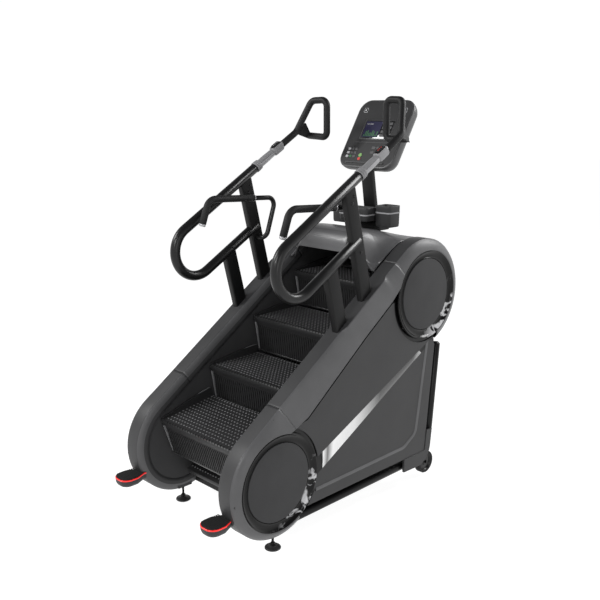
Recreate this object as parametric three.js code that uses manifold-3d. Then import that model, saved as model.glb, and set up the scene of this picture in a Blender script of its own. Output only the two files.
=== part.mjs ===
// A revolving-stair climber: nine moving steps between two slanted side covers, with handrails,
// a console on a mast, step-up pedals, levelling feet and transport wheels.
// Millimetres. +X is the user's right, +Y the way the user faces, +Z up.
// The origin is on the floor, in the middle of the machine's box.
import * as THREE from "three";
import { mergeVertices } from "three/addons/utils/BufferGeometryUtils.js";
import Module from "manifold-3d";

const wasm = await Module();
wasm.setup();

// ---------------------------------------------------------------- driving dimensions
const STEP_RISE = 203;
const STEP_COUNT = 9;
const LOW_SHAFT = { y: -481, z: 358 };
const TOP_SHAFT = { y: 568, z: 1058 };
const SHAFT_R = 15;
const NOSING_HEIGHT = 200; // from the line between the shafts to a step's front edge
const STEP_HALF_WIDTH = 280;
const LOW_COVER_R = 270;
const TOP_COVER_R = 285;
const COVER_INNER_X = 300;
const COVER_OUTER_X = 420;
const COVER_WALL = 4;
const DISC_R = 231;
const RAIL_X = 360; // plane of a handrail
const RAIL_R = 25;
const RAIL_SLOPE = THREE.MathUtils.degToRad(30.3);
const POST_LEAN = 0.249; // how far a post leans back for each unit it rises
const GRIP_X = 285; // plane of an inner grip
const FLOOR_RAIL = { x: 366, z: 125, r: 24 };
const GAP = 0.4; // clearance between pieces that touch

const SPAN_Y = TOP_SHAFT.y - LOW_SHAFT.y;
const SPAN_Z = TOP_SHAFT.z - LOW_SHAFT.z;
const SPAN = Math.hypot(SPAN_Y, SPAN_Z);
const INCLINE = Math.atan2(SPAN_Z, SPAN_Y);
const STEP_RUN = STEP_RISE / Math.tan(INCLINE);
const STEP_PITCH = STEP_RISE / Math.sin(INCLINE);
const PITCH_R = (STEP_COUNT * STEP_PITCH - 2 * SPAN) / (2 * Math.PI);
const COVER_TAPER = Math.asin((TOP_COVER_R - LOW_COVER_R) / SPAN);

// ---------------------------------------------------------------- materials
const paint = (color, roughness, metalness = 0) =>
  new THREE.MeshStandardMaterial({ color, roughness, metalness });
const CHARCOAL = paint(0x3a3b3d, 0.5);
const GRAPHITE = paint(0x55575a, 0.45);
const BLACK_STEEL = paint(0x141415, 0.4, 0.4);
const BLACK_PLASTIC = paint(0x1c1c1e, 0.6);
const GREY_METAL = paint(0x8a8c90, 0.35, 0.8);
const LIGHT_HOOD = paint(0x77797c, 0.4);
const RUBBER = paint(0x202123, 0.9);
const BARE_STEEL = paint(0x9a9ca0, 0.4, 0.9);
const RED = paint(0xc8382c, 0.5);
const GREEN = paint(0x4f9a45, 0.5);

// ---------------------------------------------------------------- geometry helpers
const machine = new THREE.Group();

function place(name, geometry, material, parent = machine) {
  const mesh = new THREE.Mesh(geometry, material);
  mesh.name = name;
  parent.add(mesh);
  return mesh;
}

// A closed solid for joining and cutting.
function solid(geometry) {
  const bare = geometry.index ? geometry.toNonIndexed() : geometry.clone();
  bare.deleteAttribute("normal");
  bare.deleteAttribute("uv");
  const merged = mergeVertices(bare, 1e-3);
  return new wasm.Manifold(
    new wasm.Mesh({
      numProp: 3,
      vertProperties: merged.attributes.position.array,
      triVerts: new Uint32Array(merged.index.array),
    }),
  );
}

function toGeometry(made) {
  const mesh = made.getMesh();
  return new THREE.BufferGeometry()
    .setAttribute("position", new THREE.BufferAttribute(mesh.vertProperties, 3))
    .setIndex(new THREE.BufferAttribute(mesh.triVerts, 1));
}

const join = (...geometries) =>
  toGeometry(geometries.map(solid).reduce((all, one) => all.add(one)));

const cut = (geometry, ...tools) =>
  toGeometry(tools.map(solid).reduce((left, tool) => left.subtract(tool), solid(geometry)));

const keep = (geometry, region) => toGeometry(solid(geometry).intersect(solid(region)));

const box = (x0, x1, y0, y1, z0, z1) =>
  new THREE.BoxGeometry(x1 - x0, y1 - y0, z1 - z0).translate(
    (x0 + x1) / 2,
    (y0 + y1) / 2,
    (z0 + z1) / 2,
  );

// Turns a shape drawn in (y, z) into a plate between two x planes.
const SIDEWAYS = new THREE.Matrix4().set(0, 0, 1, 0, 1, 0, 0, 0, 0, 1, 0, 0, 0, 0, 0, 1);
function plate(points, x0, x1) {
  const shape = new THREE.Shape(points.map(([y, z]) => new THREE.Vector2(y, z)));
  return new THREE.ExtrudeGeometry(shape, { depth: x1 - x0, bevelEnabled: false })
    .applyMatrix4(SIDEWAYS)
    .translate(x0, 0, 0);
}

// Points of an arc in (y, z), counter-clockwise from one angle to another, in radians.
function arc(centre, radius, from, to, steps) {
  return Array.from({ length: steps + 1 }, (_, i) => {
    const angle = from + ((to - from) * i) / steps;
    return [centre.y + radius * Math.cos(angle), centre.z + radius * Math.sin(angle)];
  });
}

const circle = (centre, radius, steps = 32) =>
  arc(centre, radius, 0, 2 * Math.PI * (1 - 1 / steps), steps - 1);

// The outline of two circles and the tangents that join them.
function band(lowR, topR, steps = 12) {
  const taper = Math.asin((topR - lowR) / SPAN);
  const above = INCLINE + taper + Math.PI / 2;
  const below = INCLINE - taper + (3 * Math.PI) / 2;
  return [
    ...arc(LOW_SHAFT, lowR, above, below, steps),
    ...arc(TOP_SHAFT, topR, below - 2 * Math.PI, above, steps),
  ];
}

// A cylinder along x.
const barrel = (centre, radius, x0, x1, sides = 16) =>
  new THREE.CylinderGeometry(radius, radius, x1 - x0, sides)
    .rotateZ(Math.PI / 2)
    .translate((x0 + x1) / 2, centre.y, centre.z);

const upright = (x, y, radius, z0, z1, sides = 16) =>
  new THREE.CylinderGeometry(radius, radius, z1 - z0, sides)
    .rotateX(Math.PI / 2)
    .translate(x, y, (z0 + z1) / 2);

// A curve through fixed stations, so that a straight stretch takes one step and a bend several.
class Stations extends THREE.Curve {
  constructor(points) {
    super();
    this.points = points;
  }
  getPointAt(u) {
    const place = u * (this.points.length - 1);
    const i = Math.min(Math.floor(place), this.points.length - 2);
    return this.points[i].clone().lerp(this.points[i + 1], place - i);
  }
  getTangentAt(u) {
    const i = Math.round(u * (this.points.length - 1));
    const before = this.points[Math.max(i - 1, 0)];
    const after = this.points[Math.min(i + 1, this.points.length - 1)];
    return after.clone().sub(before).normalize();
  }
}

// Rounds the inner corners of a route to a bend radius.
function rounded(corners, bend, steps = 4) {
  const points = corners.map((c) => new THREE.Vector3(...c));
  const route = [points[0]];
  for (let i = 1; i < points.length - 1; i++) {
    const back = points[i - 1].clone().sub(points[i]).normalize();
    const ahead = points[i + 1].clone().sub(points[i]).normalize();
    const half = back.angleTo(ahead) / 2;
    const start = points[i].clone().addScaledVector(back, bend / Math.tan(half));
    const middle = back.clone().add(ahead).normalize();
    const centre = points[i].clone().addScaledVector(middle, bend / Math.sin(half));
    const axis = new THREE.Vector3().crossVectors(back, start.clone().sub(centre)).normalize();
    for (let k = 0; k <= steps; k++) {
      const spoke = start.clone().sub(centre);
      spoke.applyAxisAngle(axis, ((Math.PI - 2 * half) * k) / steps);
      route.push(centre.clone().add(spoke));
    }
  }
  route.push(points.at(-1));
  return route;
}

function pipe(route, radius, sides = 10) {
  const section = new THREE.Shape();
  section.absarc(0, 0, radius, 0, 2 * Math.PI, false);
  return new THREE.ExtrudeGeometry(section, {
    steps: route.length - 1,
    curveSegments: sides / 2,
    extrudePath: new Stations(route),
    bevelEnabled: false,
  });
}

// ---------------------------------------------------------------- side covers
const topEdgeAt = (y) => {
  const slope = INCLINE + COVER_TAPER;
  const touch = {
    y: LOW_SHAFT.y - LOW_COVER_R * Math.sin(slope),
    z: LOW_SHAFT.z + LOW_COVER_R * Math.cos(slope),
  };
  return touch.z + (y - touch.y) * Math.tan(slope);
};
const RECESS_START = { y: -387, z: 592 }; // where the side panel's upper edge leaves the lower disc
const RECESS_END = { y: 371, z: 1151 };
const BASE_TOP = 156;
const BRIDGE = { z0: 1306, z1: 1316 }; // the plate across the top that carries the mast
const PANEL_FRONT = { low: 606, high: 668, highZ: 800 };
const TALL_POST = { y: 140, z: 1100 }; // a point on the post's axis
const SHORT_POST = { y: -43, z: 1007 };
const POST_SIZE = { x: 38, y: 78 };

const postAt = (post, z) => post.y - (z - post.z) * POST_LEAN;

// A post with its lean, between two heights, grown by a margin all round.
function postSolid(post, z0, z1, margin = 0) {
  const halfY = POST_SIZE.y / 2 + margin;
  const halfX = POST_SIZE.x / 2 + margin;
  const corner = (z, side) => [postAt(post, z) + side * halfY, z];
  return plate(
    [corner(z0, -1), corner(z0, 1), corner(z1, 1), corner(z1, -1)],
    RAIL_X - halfX,
    RAIL_X + halfX,
  );
}

// The wall between the discs and under the slanted band is the side panel's place.
function panelRegion(x0, x1) {
  const region = plate(
    [
      [LOW_SHAFT.y, LOW_SHAFT.z],
      [-300, 40],
      [700, 770],
      [TOP_SHAFT.y, TOP_SHAFT.z],
      [RECESS_END.y, RECESS_END.z],
      [RECESS_START.y, RECESS_START.z],
    ],
    x0,
    x1,
  );
  const rim = 20;
  return cut(
    region,
    plate(circle(LOW_SHAFT, DISC_R + rim), x0 - 1, x1 + 1),
    plate(circle(TOP_SHAFT, DISC_R + rim), x0 - 1, x1 + 1),
  );
}

function bandCover() {
  const innerR = (radius) => radius - COVER_WALL;
  const slotR = PITCH_R + 28;
  return cut(
    plate(band(LOW_COVER_R, TOP_COVER_R), COVER_INNER_X, COVER_OUTER_X),
    plate(
      band(innerR(LOW_COVER_R), innerR(TOP_COVER_R)),
      COVER_INNER_X + COVER_WALL,
      COVER_OUTER_X - COVER_WALL,
    ),
    plate(band(slotR, slotR), COVER_INNER_X - 1, COVER_INNER_X + COVER_WALL + 1),
    plate(circle(LOW_SHAFT, DISC_R + 2), COVER_OUTER_X - 6, COVER_OUTER_X + 1),
    plate(circle(TOP_SHAFT, DISC_R + 2), COVER_OUTER_X - 6, COVER_OUTER_X + 1),
    panelRegion(COVER_INNER_X + COVER_WALL + 0.5, COVER_OUTER_X + 1),
    postSolid(TALL_POST, topEdgeAt(TALL_POST.y) - 90, topEdgeAt(TALL_POST.y) + 90, 3),
    postSolid(SHORT_POST, topEdgeAt(SHORT_POST.y) - 90, topEdgeAt(SHORT_POST.y) + 90, 3),
    box(COVER_INNER_X - 1, 404, -436, -280, 60, 160),
    box(COVER_INNER_X - 1, COVER_INNER_X + COVER_WALL + 1, 598, 674, BRIDGE.z0 - 3, BRIDGE.z1 + 3),
    upright(FEET[0][1] * -1, FEET[0][2], 10, 60, 110),
    upright(FEET[0][1], FEET[0][2], 10, 60, 110),
  );
}

function sidePanel() {
  const outer = 408;
  const flange = 394;
  const outline = [
    [-300, BASE_TOP],
    [PANEL_FRONT.low, BASE_TOP],
    [PANEL_FRONT.high, PANEL_FRONT.highZ],
    [TOP_SHAFT.y, TOP_SHAFT.z],
    [RECESS_END.y + 8, RECESS_END.z - 8],
    [RECESS_START.y + 8, RECESS_START.z - 8],
    [LOW_SHAFT.y, LOW_SHAFT.z],
  ];
  const discRoom = [LOW_SHAFT, TOP_SHAFT].map((shaft) =>
    plate(circle(shaft, DISC_R + 22), flange - 1, outer + 1),
  );
  const hollow = [
    [-400, BASE_TOP + COVER_WALL],
    [PANEL_FRONT.low - COVER_WALL, BASE_TOP + COVER_WALL],
    [PANEL_FRONT.high - COVER_WALL, PANEL_FRONT.highZ],
    [700, 1400],
    [-400, 1400],
  ];
  return cut(
    plate(outline, flange, outer),
    ...discRoom,
    plate(hollow, flange - 1, outer - COVER_WALL),
  );
}

function cornerCover() {
  const outline = [
    [430, 104],
    [545, 104],
    ...arc({ y: 545, z: 204 }, 100, -Math.PI / 2 + 0.3, -0.1, 6),
    [672, 285],
    [PANEL_FRONT.low + 14, 285],
    [PANEL_FRONT.low + GAP, BASE_TOP - GAP],
    [430, BASE_TOP - GAP],
  ];
  return plate(outline, 400, 411);
}

// A round cover: a flat disc standing in a shallow ring-shaped recess.
function coverDisc(shaft) {
  const profile = [
    [0, 392],
    [DISC_R - 3, 392],
    [DISC_R, 396],
    [DISC_R, 413],
    [DISC_R - 6, 415],
    [DISC_R - 28, 402],
    [190, 401],
    [186, 411],
    [0, 411],
  ].map(([radius, x]) => new THREE.Vector2(radius, x));
  return new THREE.LatheGeometry(profile, 32)
    .rotateZ(-Math.PI / 2)
    .translate(0, shaft.y, shaft.z);
}

// ---------------------------------------------------------------- handrails and grips
const RAIL_REFERENCE = { y: 387, z: 1866 }; // where the upper run's line meets the upper grip's bend
const LOOP_CENTRE = { y: -317, z: 1301.5 };
const LOOP_R = 129;
const railDirection = { y: Math.cos(RAIL_SLOPE), z: Math.sin(RAIL_SLOPE) };
const railTop = (distance) => [
  RAIL_X,
  RAIL_REFERENCE.y - distance * railDirection.y,
  RAIL_REFERENCE.z - distance * railDirection.z,
];
const COLLAR_AT = 352; // distances down the rail from its upper bend
const PULSE_GRIP_AT = 316;
const SWITCH_AT = 208;
const TUBE_AT = 122;

function handrail() {
  const across = RAIL_SLOPE + Math.PI / 2;
  const upperRun = railTop(COLLAR_AT);
  const bend = arc(LOOP_CENTRE, LOOP_R, across, across + Math.PI, 9);
  const lowerEnd = 395;
  const last = bend.at(-1);
  const route = [
    upperRun,
    ...bend.map(([y, z]) => [RAIL_X, y, z]),
    [RAIL_X, last[0] + lowerEnd * railDirection.y, last[1] + lowerEnd * railDirection.z],
  ].map((p) => new THREE.Vector3(...p));
  const tallTop = 1640;
  const shortTop = 1275;
  return join(
    pipe(route, RAIL_R, 12),
    postSolid(TALL_POST, topEdgeAt(TALL_POST.y) - 95, tallTop),
    postSolid(SHORT_POST, topEdgeAt(SHORT_POST.y) - 95, shortTop),
    innerTube(),
  );
}

const GRIP_RING = 9; // where the foam ends and the bare tube begins
const GRIP_BACK = [GRIP_X, -287, 1559];
const gripRunZ = (y) => GRIP_BACK[2] - (y - GRIP_BACK[1]) * 0.055;

// The thin tube that carries an inner grip and turns back into the tall post.
function innerTube() {
  const corners = [
    [GRIP_X, GRIP_RING + GAP, gripRunZ(GRIP_RING)],
    [GRIP_X, 160, gripRunZ(160)],
    [GRIP_X, 88, 1318],
    [RAIL_X, 76, 1330],
  ];
  return pipe(rounded(corners, 40), 12.5, 8);
}

function innerGrip() {
  const corners = [[GRIP_X, -335, 1430], GRIP_BACK, [GRIP_X, GRIP_RING, gripRunZ(GRIP_RING)]];
  return pipe(rounded(corners, 55), 17.5);
}

function pulseGrip() {
  const grip = pipe(
    [railTop(PULSE_GRIP_AT + 30), railTop(SWITCH_AT + GAP)].map((p) => new THREE.Vector3(...p)),
    20,
    12,
  );
  const collar = pipe(
    [railTop(COLLAR_AT - GAP), railTop(PULSE_GRIP_AT)].map((p) => new THREE.Vector3(...p)),
    29,
    12,
  );
  return join(grip, collar);
}

// Moves a piece drawn round the origin, with its length along y, onto the rail's upper run.
function onRail(geometry, distance) {
  return geometry.rotateX(RAIL_SLOPE).translate(...railTop(distance));
}

const SWITCH_LENGTH = SWITCH_AT - TUBE_AT;
const SWITCH_MIDDLE = (SWITCH_AT + TUBE_AT) / 2;
const BUTTON = { x: 13, y: 26, low: 19, high: 30 };

function switchHousing() {
  const body = box(-22, 22, -SWITCH_LENGTH / 2, SWITCH_LENGTH / 2 - GAP, -24, 26);
  const well = box(
    -BUTTON.x - GAP,
    BUTTON.x + GAP,
    -BUTTON.y - GAP,
    BUTTON.y + GAP,
    BUTTON.low - 3,
    40,
  );
  return onRail(cut(body, well), SWITCH_MIDDLE);
}

const switchButton = () =>
  onRail(
    box(-BUTTON.x, BUTTON.x, -BUTTON.y, BUTTON.y, BUTTON.low, BUTTON.high),
    SWITCH_MIDDLE,
  );

const LOOP_FRONT_Y = 466; // plane of the upper grip's loop
function upperGrip() {
  const corners = [
    railTop(TUBE_AT - GAP),
    railTop(0),
    [310, LOOP_FRONT_Y - 10, 2032],
    [205, LOOP_FRONT_Y - 2, 2036],
    [205, LOOP_FRONT_Y, 1840],
    [332, LOOP_FRONT_Y, 1848],
  ];
  const loop = pipe(rounded(corners, 30), 18);
  const gusset = new THREE.ExtrudeGeometry(
    new THREE.Shape([
      new THREE.Vector2(0, 0),
      new THREE.Vector2(86, -20),
      new THREE.Vector2(86, 8),
      new THREE.Vector2(42, 84),
    ]),
    { depth: 10, bevelEnabled: false },
  )
    .translate(0, 0, -5)
    .applyMatrix4(new THREE.Matrix4().set(-0.3, 0, 1, 349, 1, 0, 0.3, 385, 0, 1, 0, 1862, 0, 0, 0, 1));
  return join(loop, gusset);
}

// ---------------------------------------------------------------- steps
const along = (distance, height) => [
  LOW_SHAFT.y + distance * Math.cos(INCLINE) - height * Math.sin(INCLINE),
  LOW_SHAFT.z + distance * Math.sin(INCLINE) + height * Math.cos(INCLINE),
];
const FIRST_STEP = -19; // how far the lowest step is past the lower shaft, along the chain
const TREAD = 26;
const RISER = 8;
const BACK_GAP = 5;

// An L-shaped step, its nosing at the origin: a tread that runs forward and a riser below it.
function stepBody() {
  const outline = [
    [0, 0],
    [-4, -6],
    [-2, -TREAD],
    [12, -TREAD - 20],
    [26, -STEP_RISE + 6],
    [26 + RISER, -STEP_RISE + 6],
    [26 + RISER, -TREAD],
    [STEP_RUN - 14, -TREAD + 10],
    [STEP_RUN + 20 - BACK_GAP, -6],
    [STEP_RUN + 20 - BACK_GAP, 0],
  ];
  const pin = pinOffset;
  const bracket = [
    [20, -TREAD - 10],
    [26 + RISER + 70, -TREAD + 2],
    [pin.y + 16, pin.z - 14],
    [pin.y - 12, pin.z - 16],
  ];
  const pieces = [plate(outline, -STEP_HALF_WIDTH, STEP_HALF_WIDTH)];
  for (const side of [-1, 1]) {
    const edges = [side * (STEP_HALF_WIDTH - 10), side * (STEP_HALF_WIDTH - 2)];
    const reach = [side * (STEP_HALF_WIDTH - 6), side * (COVER_INNER_X + 5)];
    pieces.push(plate(bracket, Math.min(...edges), Math.max(...edges)));
    pieces.push(barrel(pin, 8, Math.min(...reach), Math.max(...reach), 10));
  }
  return join(...pieces);
}

// The chain pin, seen from the nosing: straight down to the chain, square to the incline.
const pinOffset = {
  y: (NOSING_HEIGHT - PITCH_R) * Math.sin(INCLINE),
  z: -(NOSING_HEIGHT - PITCH_R) * Math.cos(INCLINE),
};

// Where the loop carries a step: on the upper run, round the top, back underneath, round the bottom.
function stepPose(travel) {
  const wrap = Math.PI * PITCH_R;
  if (travel < 0) {
    return { distance: 0, turn: -travel / PITCH_R, folded: false, about: LOW_SHAFT };
  }
  if (travel <= SPAN) return { distance: travel, turn: 0, folded: false, about: LOW_SHAFT };
  if (travel <= SPAN + wrap) {
    return {
      distance: SPAN,
      turn: -(travel - SPAN) / PITCH_R,
      folded: false,
      about: TOP_SHAFT,
    };
  }
  return { distance: 2 * SPAN + wrap - travel, turn: 0, folded: true, about: LOW_SHAFT };
}

// A step on the way back up: its riser folded flat under its tread, both along the chain.
function foldedStep(distance) {
  const onChain = ([ahead, out]) => along(distance + ahead, -PITCH_R - out);
  const outline = [
    [-89, 20],
    [-85, 12],
    [230, 12],
    [230, 24],
    [-58, 38],
    [-58, 42],
    [108, 42],
    [108, 50],
    [-80, 50],
    [-89, 42],
  ].map(onChain);
  const bracket = [
    [-20, 14],
    [-14, -9],
    [14, -9],
    [20, 14],
  ].map(onChain);
  const pin = { y: onChain([0, 0])[0], z: onChain([0, 0])[1] };
  const pieces = [plate(outline.reverse(), -STEP_HALF_WIDTH, STEP_HALF_WIDTH)];
  for (const side of [-1, 1]) {
    const edges = [side * (STEP_HALF_WIDTH - 10), side * (STEP_HALF_WIDTH - 2)];
    const reach = [side * (STEP_HALF_WIDTH - 6), side * (COVER_INNER_X + 5)];
    pieces.push(plate(bracket, Math.min(...edges), Math.max(...edges)));
    pieces.push(barrel(pin, 8, Math.min(...reach), Math.max(...reach), 10));
  }
  return join(...pieces);
}

function placeStep(number) {
  const pose = stepPose(FIRST_STEP + (number - 1) * STEP_PITCH);
  if (pose.folded) {
    place("step_" + number, foldedStep(pose.distance), RUBBER);
    return;
  }
  const nosing = along(pose.distance, NOSING_HEIGHT);
  const geometry = stepBody().translate(0, nosing[0], nosing[1]);
  geometry.translate(0, -pose.about.y, -pose.about.z).rotateX(pose.turn);
  geometry.translate(0, pose.about.y, pose.about.z);
  place("step_" + number, geometry, RUBBER);
}

// ---------------------------------------------------------------- drive
const CHAIN_X = [306, 318];
const PLATE_X = [324, 330];
const PULLEY_X = [340, 352];
const SPROCKET_TEETH = 16;
const ALTERNATOR = { y: 520, z: 470 };
const BIG_PULLEY_R = 108;
const SMALL_PULLEY_R = 24;

function sprocket(shaft, x0, x1) {
  const tip = PITCH_R - 9;
  const root = tip - 8;
  const points = [];
  for (let tooth = 0; tooth < SPROCKET_TEETH; tooth++) {
    for (const [share, radius] of [[0, root], [0.4, tip], [0.7, tip]]) {
      const angle = ((tooth + share) / SPROCKET_TEETH) * 2 * Math.PI;
      points.push([shaft.y + radius * Math.cos(angle), shaft.z + radius * Math.sin(angle)]);
    }
  }
  return plate(points, x0, x1);
}

function shaftWithSprockets(shaft, leftEnd) {
  const pieces = [barrel(shaft, SHAFT_R, leftEnd, 338)];
  for (const side of [-1, 1]) {
    const planes = [side * (CHAIN_X[0] + 2), side * (CHAIN_X[1] - 2)];
    pieces.push(sprocket(shaft, Math.min(...planes), Math.max(...planes)));
  }
  return pieces;
}

const driveShaft = () =>
  join(
    ...shaftWithSprockets(TOP_SHAFT, -356),
    barrel(TOP_SHAFT, BIG_PULLEY_R, -PULLEY_X[1], -PULLEY_X[0], 32),
  );

const idlerShaft = () => join(...shaftWithSprockets(LOW_SHAFT, -338));

const chain = () =>
  cut(
    plate(band(PITCH_R + 7, PITCH_R + 7, 12), CHAIN_X[0], CHAIN_X[1]),
    plate(band(PITCH_R - 7, PITCH_R - 7, 12), CHAIN_X[0] - 1, CHAIN_X[1] + 1),
  );

function inclinePlate() {
  const half = 46;
  const leg = (y0, y1, topY0, topY1, topZ) =>
    plate(
      [
        [y0, CROSS_TOP + GAP],
        [y1, CROSS_TOP + GAP],
        [topY1, topZ],
        [topY0, topZ],
      ],
      ...PLATE_X,
    );
  const bore = SHAFT_R + 0.5;
  const earTop = BRIDGE.z0 - GAP;
  const ear = plate([[580, 1080], [630, 1080], [668, earTop], [604, earTop]], ...PLATE_X);
  const postPad = (post) => {
    const z = topEdgeAt(post.y) - 60;
    return box(PLATE_X[0] + 1, RAIL_X - POST_SIZE.x / 2 - GAP, post.y - 30, post.y + 40, z - 50, z);
  };
  const strut = (post) => {
    const z = topEdgeAt(post.y) - 60;
    return box(PLATE_X[0], PLATE_X[1], post.y - 30, post.y + 40, z - 245, z);
  };
  return cut(
    join(
      plate(band(half, half, 8), ...PLATE_X),
      leg(-540, -330, -520, -440, LOW_SHAFT.z),
      leg(460, 545, 540, 600, TOP_SHAFT.z),
      ear,
      strut(TALL_POST),
      strut(SHORT_POST),
      postPad(TALL_POST),
      postPad(SHORT_POST),
    ),
    barrel(LOW_SHAFT, bore, PLATE_X[0] - 1, PLATE_X[1] + 1),
    barrel(TOP_SHAFT, bore, PLATE_X[0] - 1, PLATE_X[1] + 1),
    barrel(ALTERNATOR, 8, PLATE_X[0] - 1, PLATE_X[1] + 1),
  );
}

function driveBelt() {
  const thickness = 4;
  const apart = Math.hypot(TOP_SHAFT.y - ALTERNATOR.y, TOP_SHAFT.z - ALTERNATOR.z);
  const heading = Math.atan2(TOP_SHAFT.z - ALTERNATOR.z, TOP_SHAFT.y - ALTERNATOR.y);
  const loop = (grow) => {
    const taper = Math.asin((BIG_PULLEY_R - SMALL_PULLEY_R) / apart);
    const above = heading + taper + Math.PI / 2;
    const below = heading - taper + (3 * Math.PI) / 2;
    return [
      ...arc(ALTERNATOR, SMALL_PULLEY_R + grow, above, below, 8),
      ...arc(TOP_SHAFT, BIG_PULLEY_R + grow, below - 2 * Math.PI, above, 18),
    ];
  };
  return cut(
    plate(loop(1 + thickness), -PULLEY_X[1] + 1, -PULLEY_X[0] - 1),
    plate(loop(1), -PULLEY_X[1], -PULLEY_X[0]),
  );
}

const alternatorPulley = () =>
  join(
    barrel(ALTERNATOR, SMALL_PULLEY_R, -PULLEY_X[1], -PULLEY_X[0], 20),
    barrel(ALTERNATOR, 7, -PULLEY_X[1], -310, 12),
  );

const alternator = () =>
  cut(
    join(
      barrel(ALTERNATOR, 85, -322, -190, 24),
      box(-300, -210, ALTERNATOR.y - 60, ALTERNATOR.y + 60, CROSS_TOP + GAP, ALTERNATOR.z - 60),
    ),
    barrel(ALTERNATOR, 8, -330, -300, 12),
  );

// ---------------------------------------------------------------- frame and feet
const FEET = [
  ["left_rear", -343, -462],
  ["right_rear", 343, -462],
  ["left_front", -200, 500],
  ["right_front", 200, 500],
];
const FOOT_SOCKET = { half: 19, z0: 101, z1: 132 };
const WHEEL = { y: 660, z: 84, r: 62, x0: 350, x1: 386 };
const CROSS_TOP = 148;
const CROSS_MEMBERS = [-383, 60, 500];

function sideRail() {
  return rounded(
    [
      [FLOOR_RAIL.x, -515, FLOOR_RAIL.z],
      [FLOOR_RAIL.x, 540, FLOOR_RAIL.z],
      [FLOOR_RAIL.x, 688, 268],
      [FLOOR_RAIL.x, 734, 760],
    ],
    70,
  );
}

function baseFrame() {
  const pieces = [];
  for (const side of [-1, 1]) {
    const route = sideRail().map((p) => new THREE.Vector3(side * p.x, p.y, p.z));
    pieces.push(pipe(route, FLOOR_RAIL.r, 12));
    pieces.push(barrel(WHEEL, 8, ...spread(side, 336, 392), 14));
    pieces.push(box(...spread(side, 326, 340), 512, WHEEL.y + 20, WHEEL.z - 14, WHEEL.z + 26));
  }
  for (const y of CROSS_MEMBERS) {
    pieces.push(box(-350, 350, y - 25, y + 25, 101, CROSS_TOP));
  }
  const { half, z0, z1 } = FOOT_SOCKET;
  for (const [, x, y] of FEET) {
    pieces.push(box(x - half, x + half, y - half, y + half, z0, z1));
  }
  const bores = FEET.map(([, x, y]) => upright(x, y, 6.5, 60, 190, 14));
  return cut(join(...pieces), ...bores);
}

const spread = (side, near, far) => (side > 0 ? [near, far] : [-far, -near]);

const foot = (x, y) => join(upright(x, y, 39, 0, 10, 24), upright(x, y, 6, 5, 172, 14));

function wheel(side) {
  const [x0, x1] = spread(side, WHEEL.x0, WHEEL.x1);
  return cut(
    barrel(WHEEL, WHEEL.r, x0, x1, 24),
    barrel(WHEEL, 8.25, x0 - 1, x1 + 1, 14),
  );
}

// ---------------------------------------------------------------- pedals
const PEDAL = { x: 332, half: 56, rear: -853, top: 255, thick: 46 };

function pedal() {
  const shape = new THREE.Shape();
  const neck = 34;
  shape.moveTo(PEDAL.x - neck, -712);
  shape.lineTo(PEDAL.x - PEDAL.half, -775);
  shape.lineTo(PEDAL.x - PEDAL.half, PEDAL.rear + 46);
  shape.absarc(PEDAL.x - PEDAL.half + 46, PEDAL.rear + 46, 46, Math.PI, 1.5 * Math.PI, false);
  shape.absarc(PEDAL.x + PEDAL.half - 46, PEDAL.rear + 46, 46, 1.5 * Math.PI, 2 * Math.PI, false);
  shape.lineTo(PEDAL.x + PEDAL.half, -775);
  shape.lineTo(PEDAL.x + neck, -712);
  shape.closePath();
  const pad = new THREE.ExtrudeGeometry(shape, {
    depth: PEDAL.thick,
    bevelEnabled: false,
    curveSegments: 6,
  }).translate(0, 0, PEDAL.top - PEDAL.thick);
  return cut(pad, plate(circle(LOW_SHAFT, LOW_COVER_R + 1.2, 48), 200, 460));
}

// ---------------------------------------------------------------- hood, mast, tray, console
const HOOD_HALF = 297;
const MAST = { halfX: 40, halfY: 20, y: 622, z: 1350, lean: 0.17 };
const mastAt = (z) => MAST.y - (z - MAST.z) * MAST.lean;

function hoodOutline(inset) {
  const r = TOP_COVER_R - inset;
  return [
    ...arc(TOP_SHAFT, r, -0.9, 1.35, 10),
    [480, 1372 - inset],
    [330, 1396 - inset],
    [262 + inset * 0.7, 1378 - inset * 0.6],
    [205 + inset, 1290],
  ];
}

function hood() {
  const wall = 5;
  const inner = hoodOutline(wall).reverse();
  const mastHole = box(-MAST.halfX - 3, MAST.halfX + 3, 596, 650, 1250, 1450);
  return cut(plate([...hoodOutline(0), ...inner], -HOOD_HALF, HOOD_HALF), mastHole);
}

const frontCover = () =>
  plate([[700, 160], [705, 160], [749, 828], [744, 828]], -HOOD_HALF, HOOD_HALF);

const mastBridge = () =>
  cut(
    box(-334, 334, 604, 668, BRIDGE.z0, BRIDGE.z1),
    box(-MAST.halfX + 1 - GAP, MAST.halfX - 1 + GAP, 606, 652, BRIDGE.z0 - 1, BRIDGE.z1 + 1),
  );

const slanted = (z0, z1, halfX, halfY) =>
  plate(
    [
      [mastAt(z0) - halfY, z0],
      [mastAt(z0) + halfY, z0],
      [mastAt(z1) + halfY, z1],
      [mastAt(z1) - halfY, z1],
    ],
    -halfX,
    halfX,
  );

function mast() {
  const post = slanted(BRIDGE.z0, 1690, MAST.halfX - 1, MAST.halfY);
  const flange = new THREE.CylinderGeometry(60, 112, 100, 4, 1)
    .rotateY(Math.PI / 4)
    .rotateX(Math.PI / 2)
    .scale(1, 0.6, 1)
    .translate(0, mastAt(1350), 1360);
  return join(post, cut(flange, plate(hoodOutline(-0.6), -HOOD_HALF, HOOD_HALF)));
}

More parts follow.
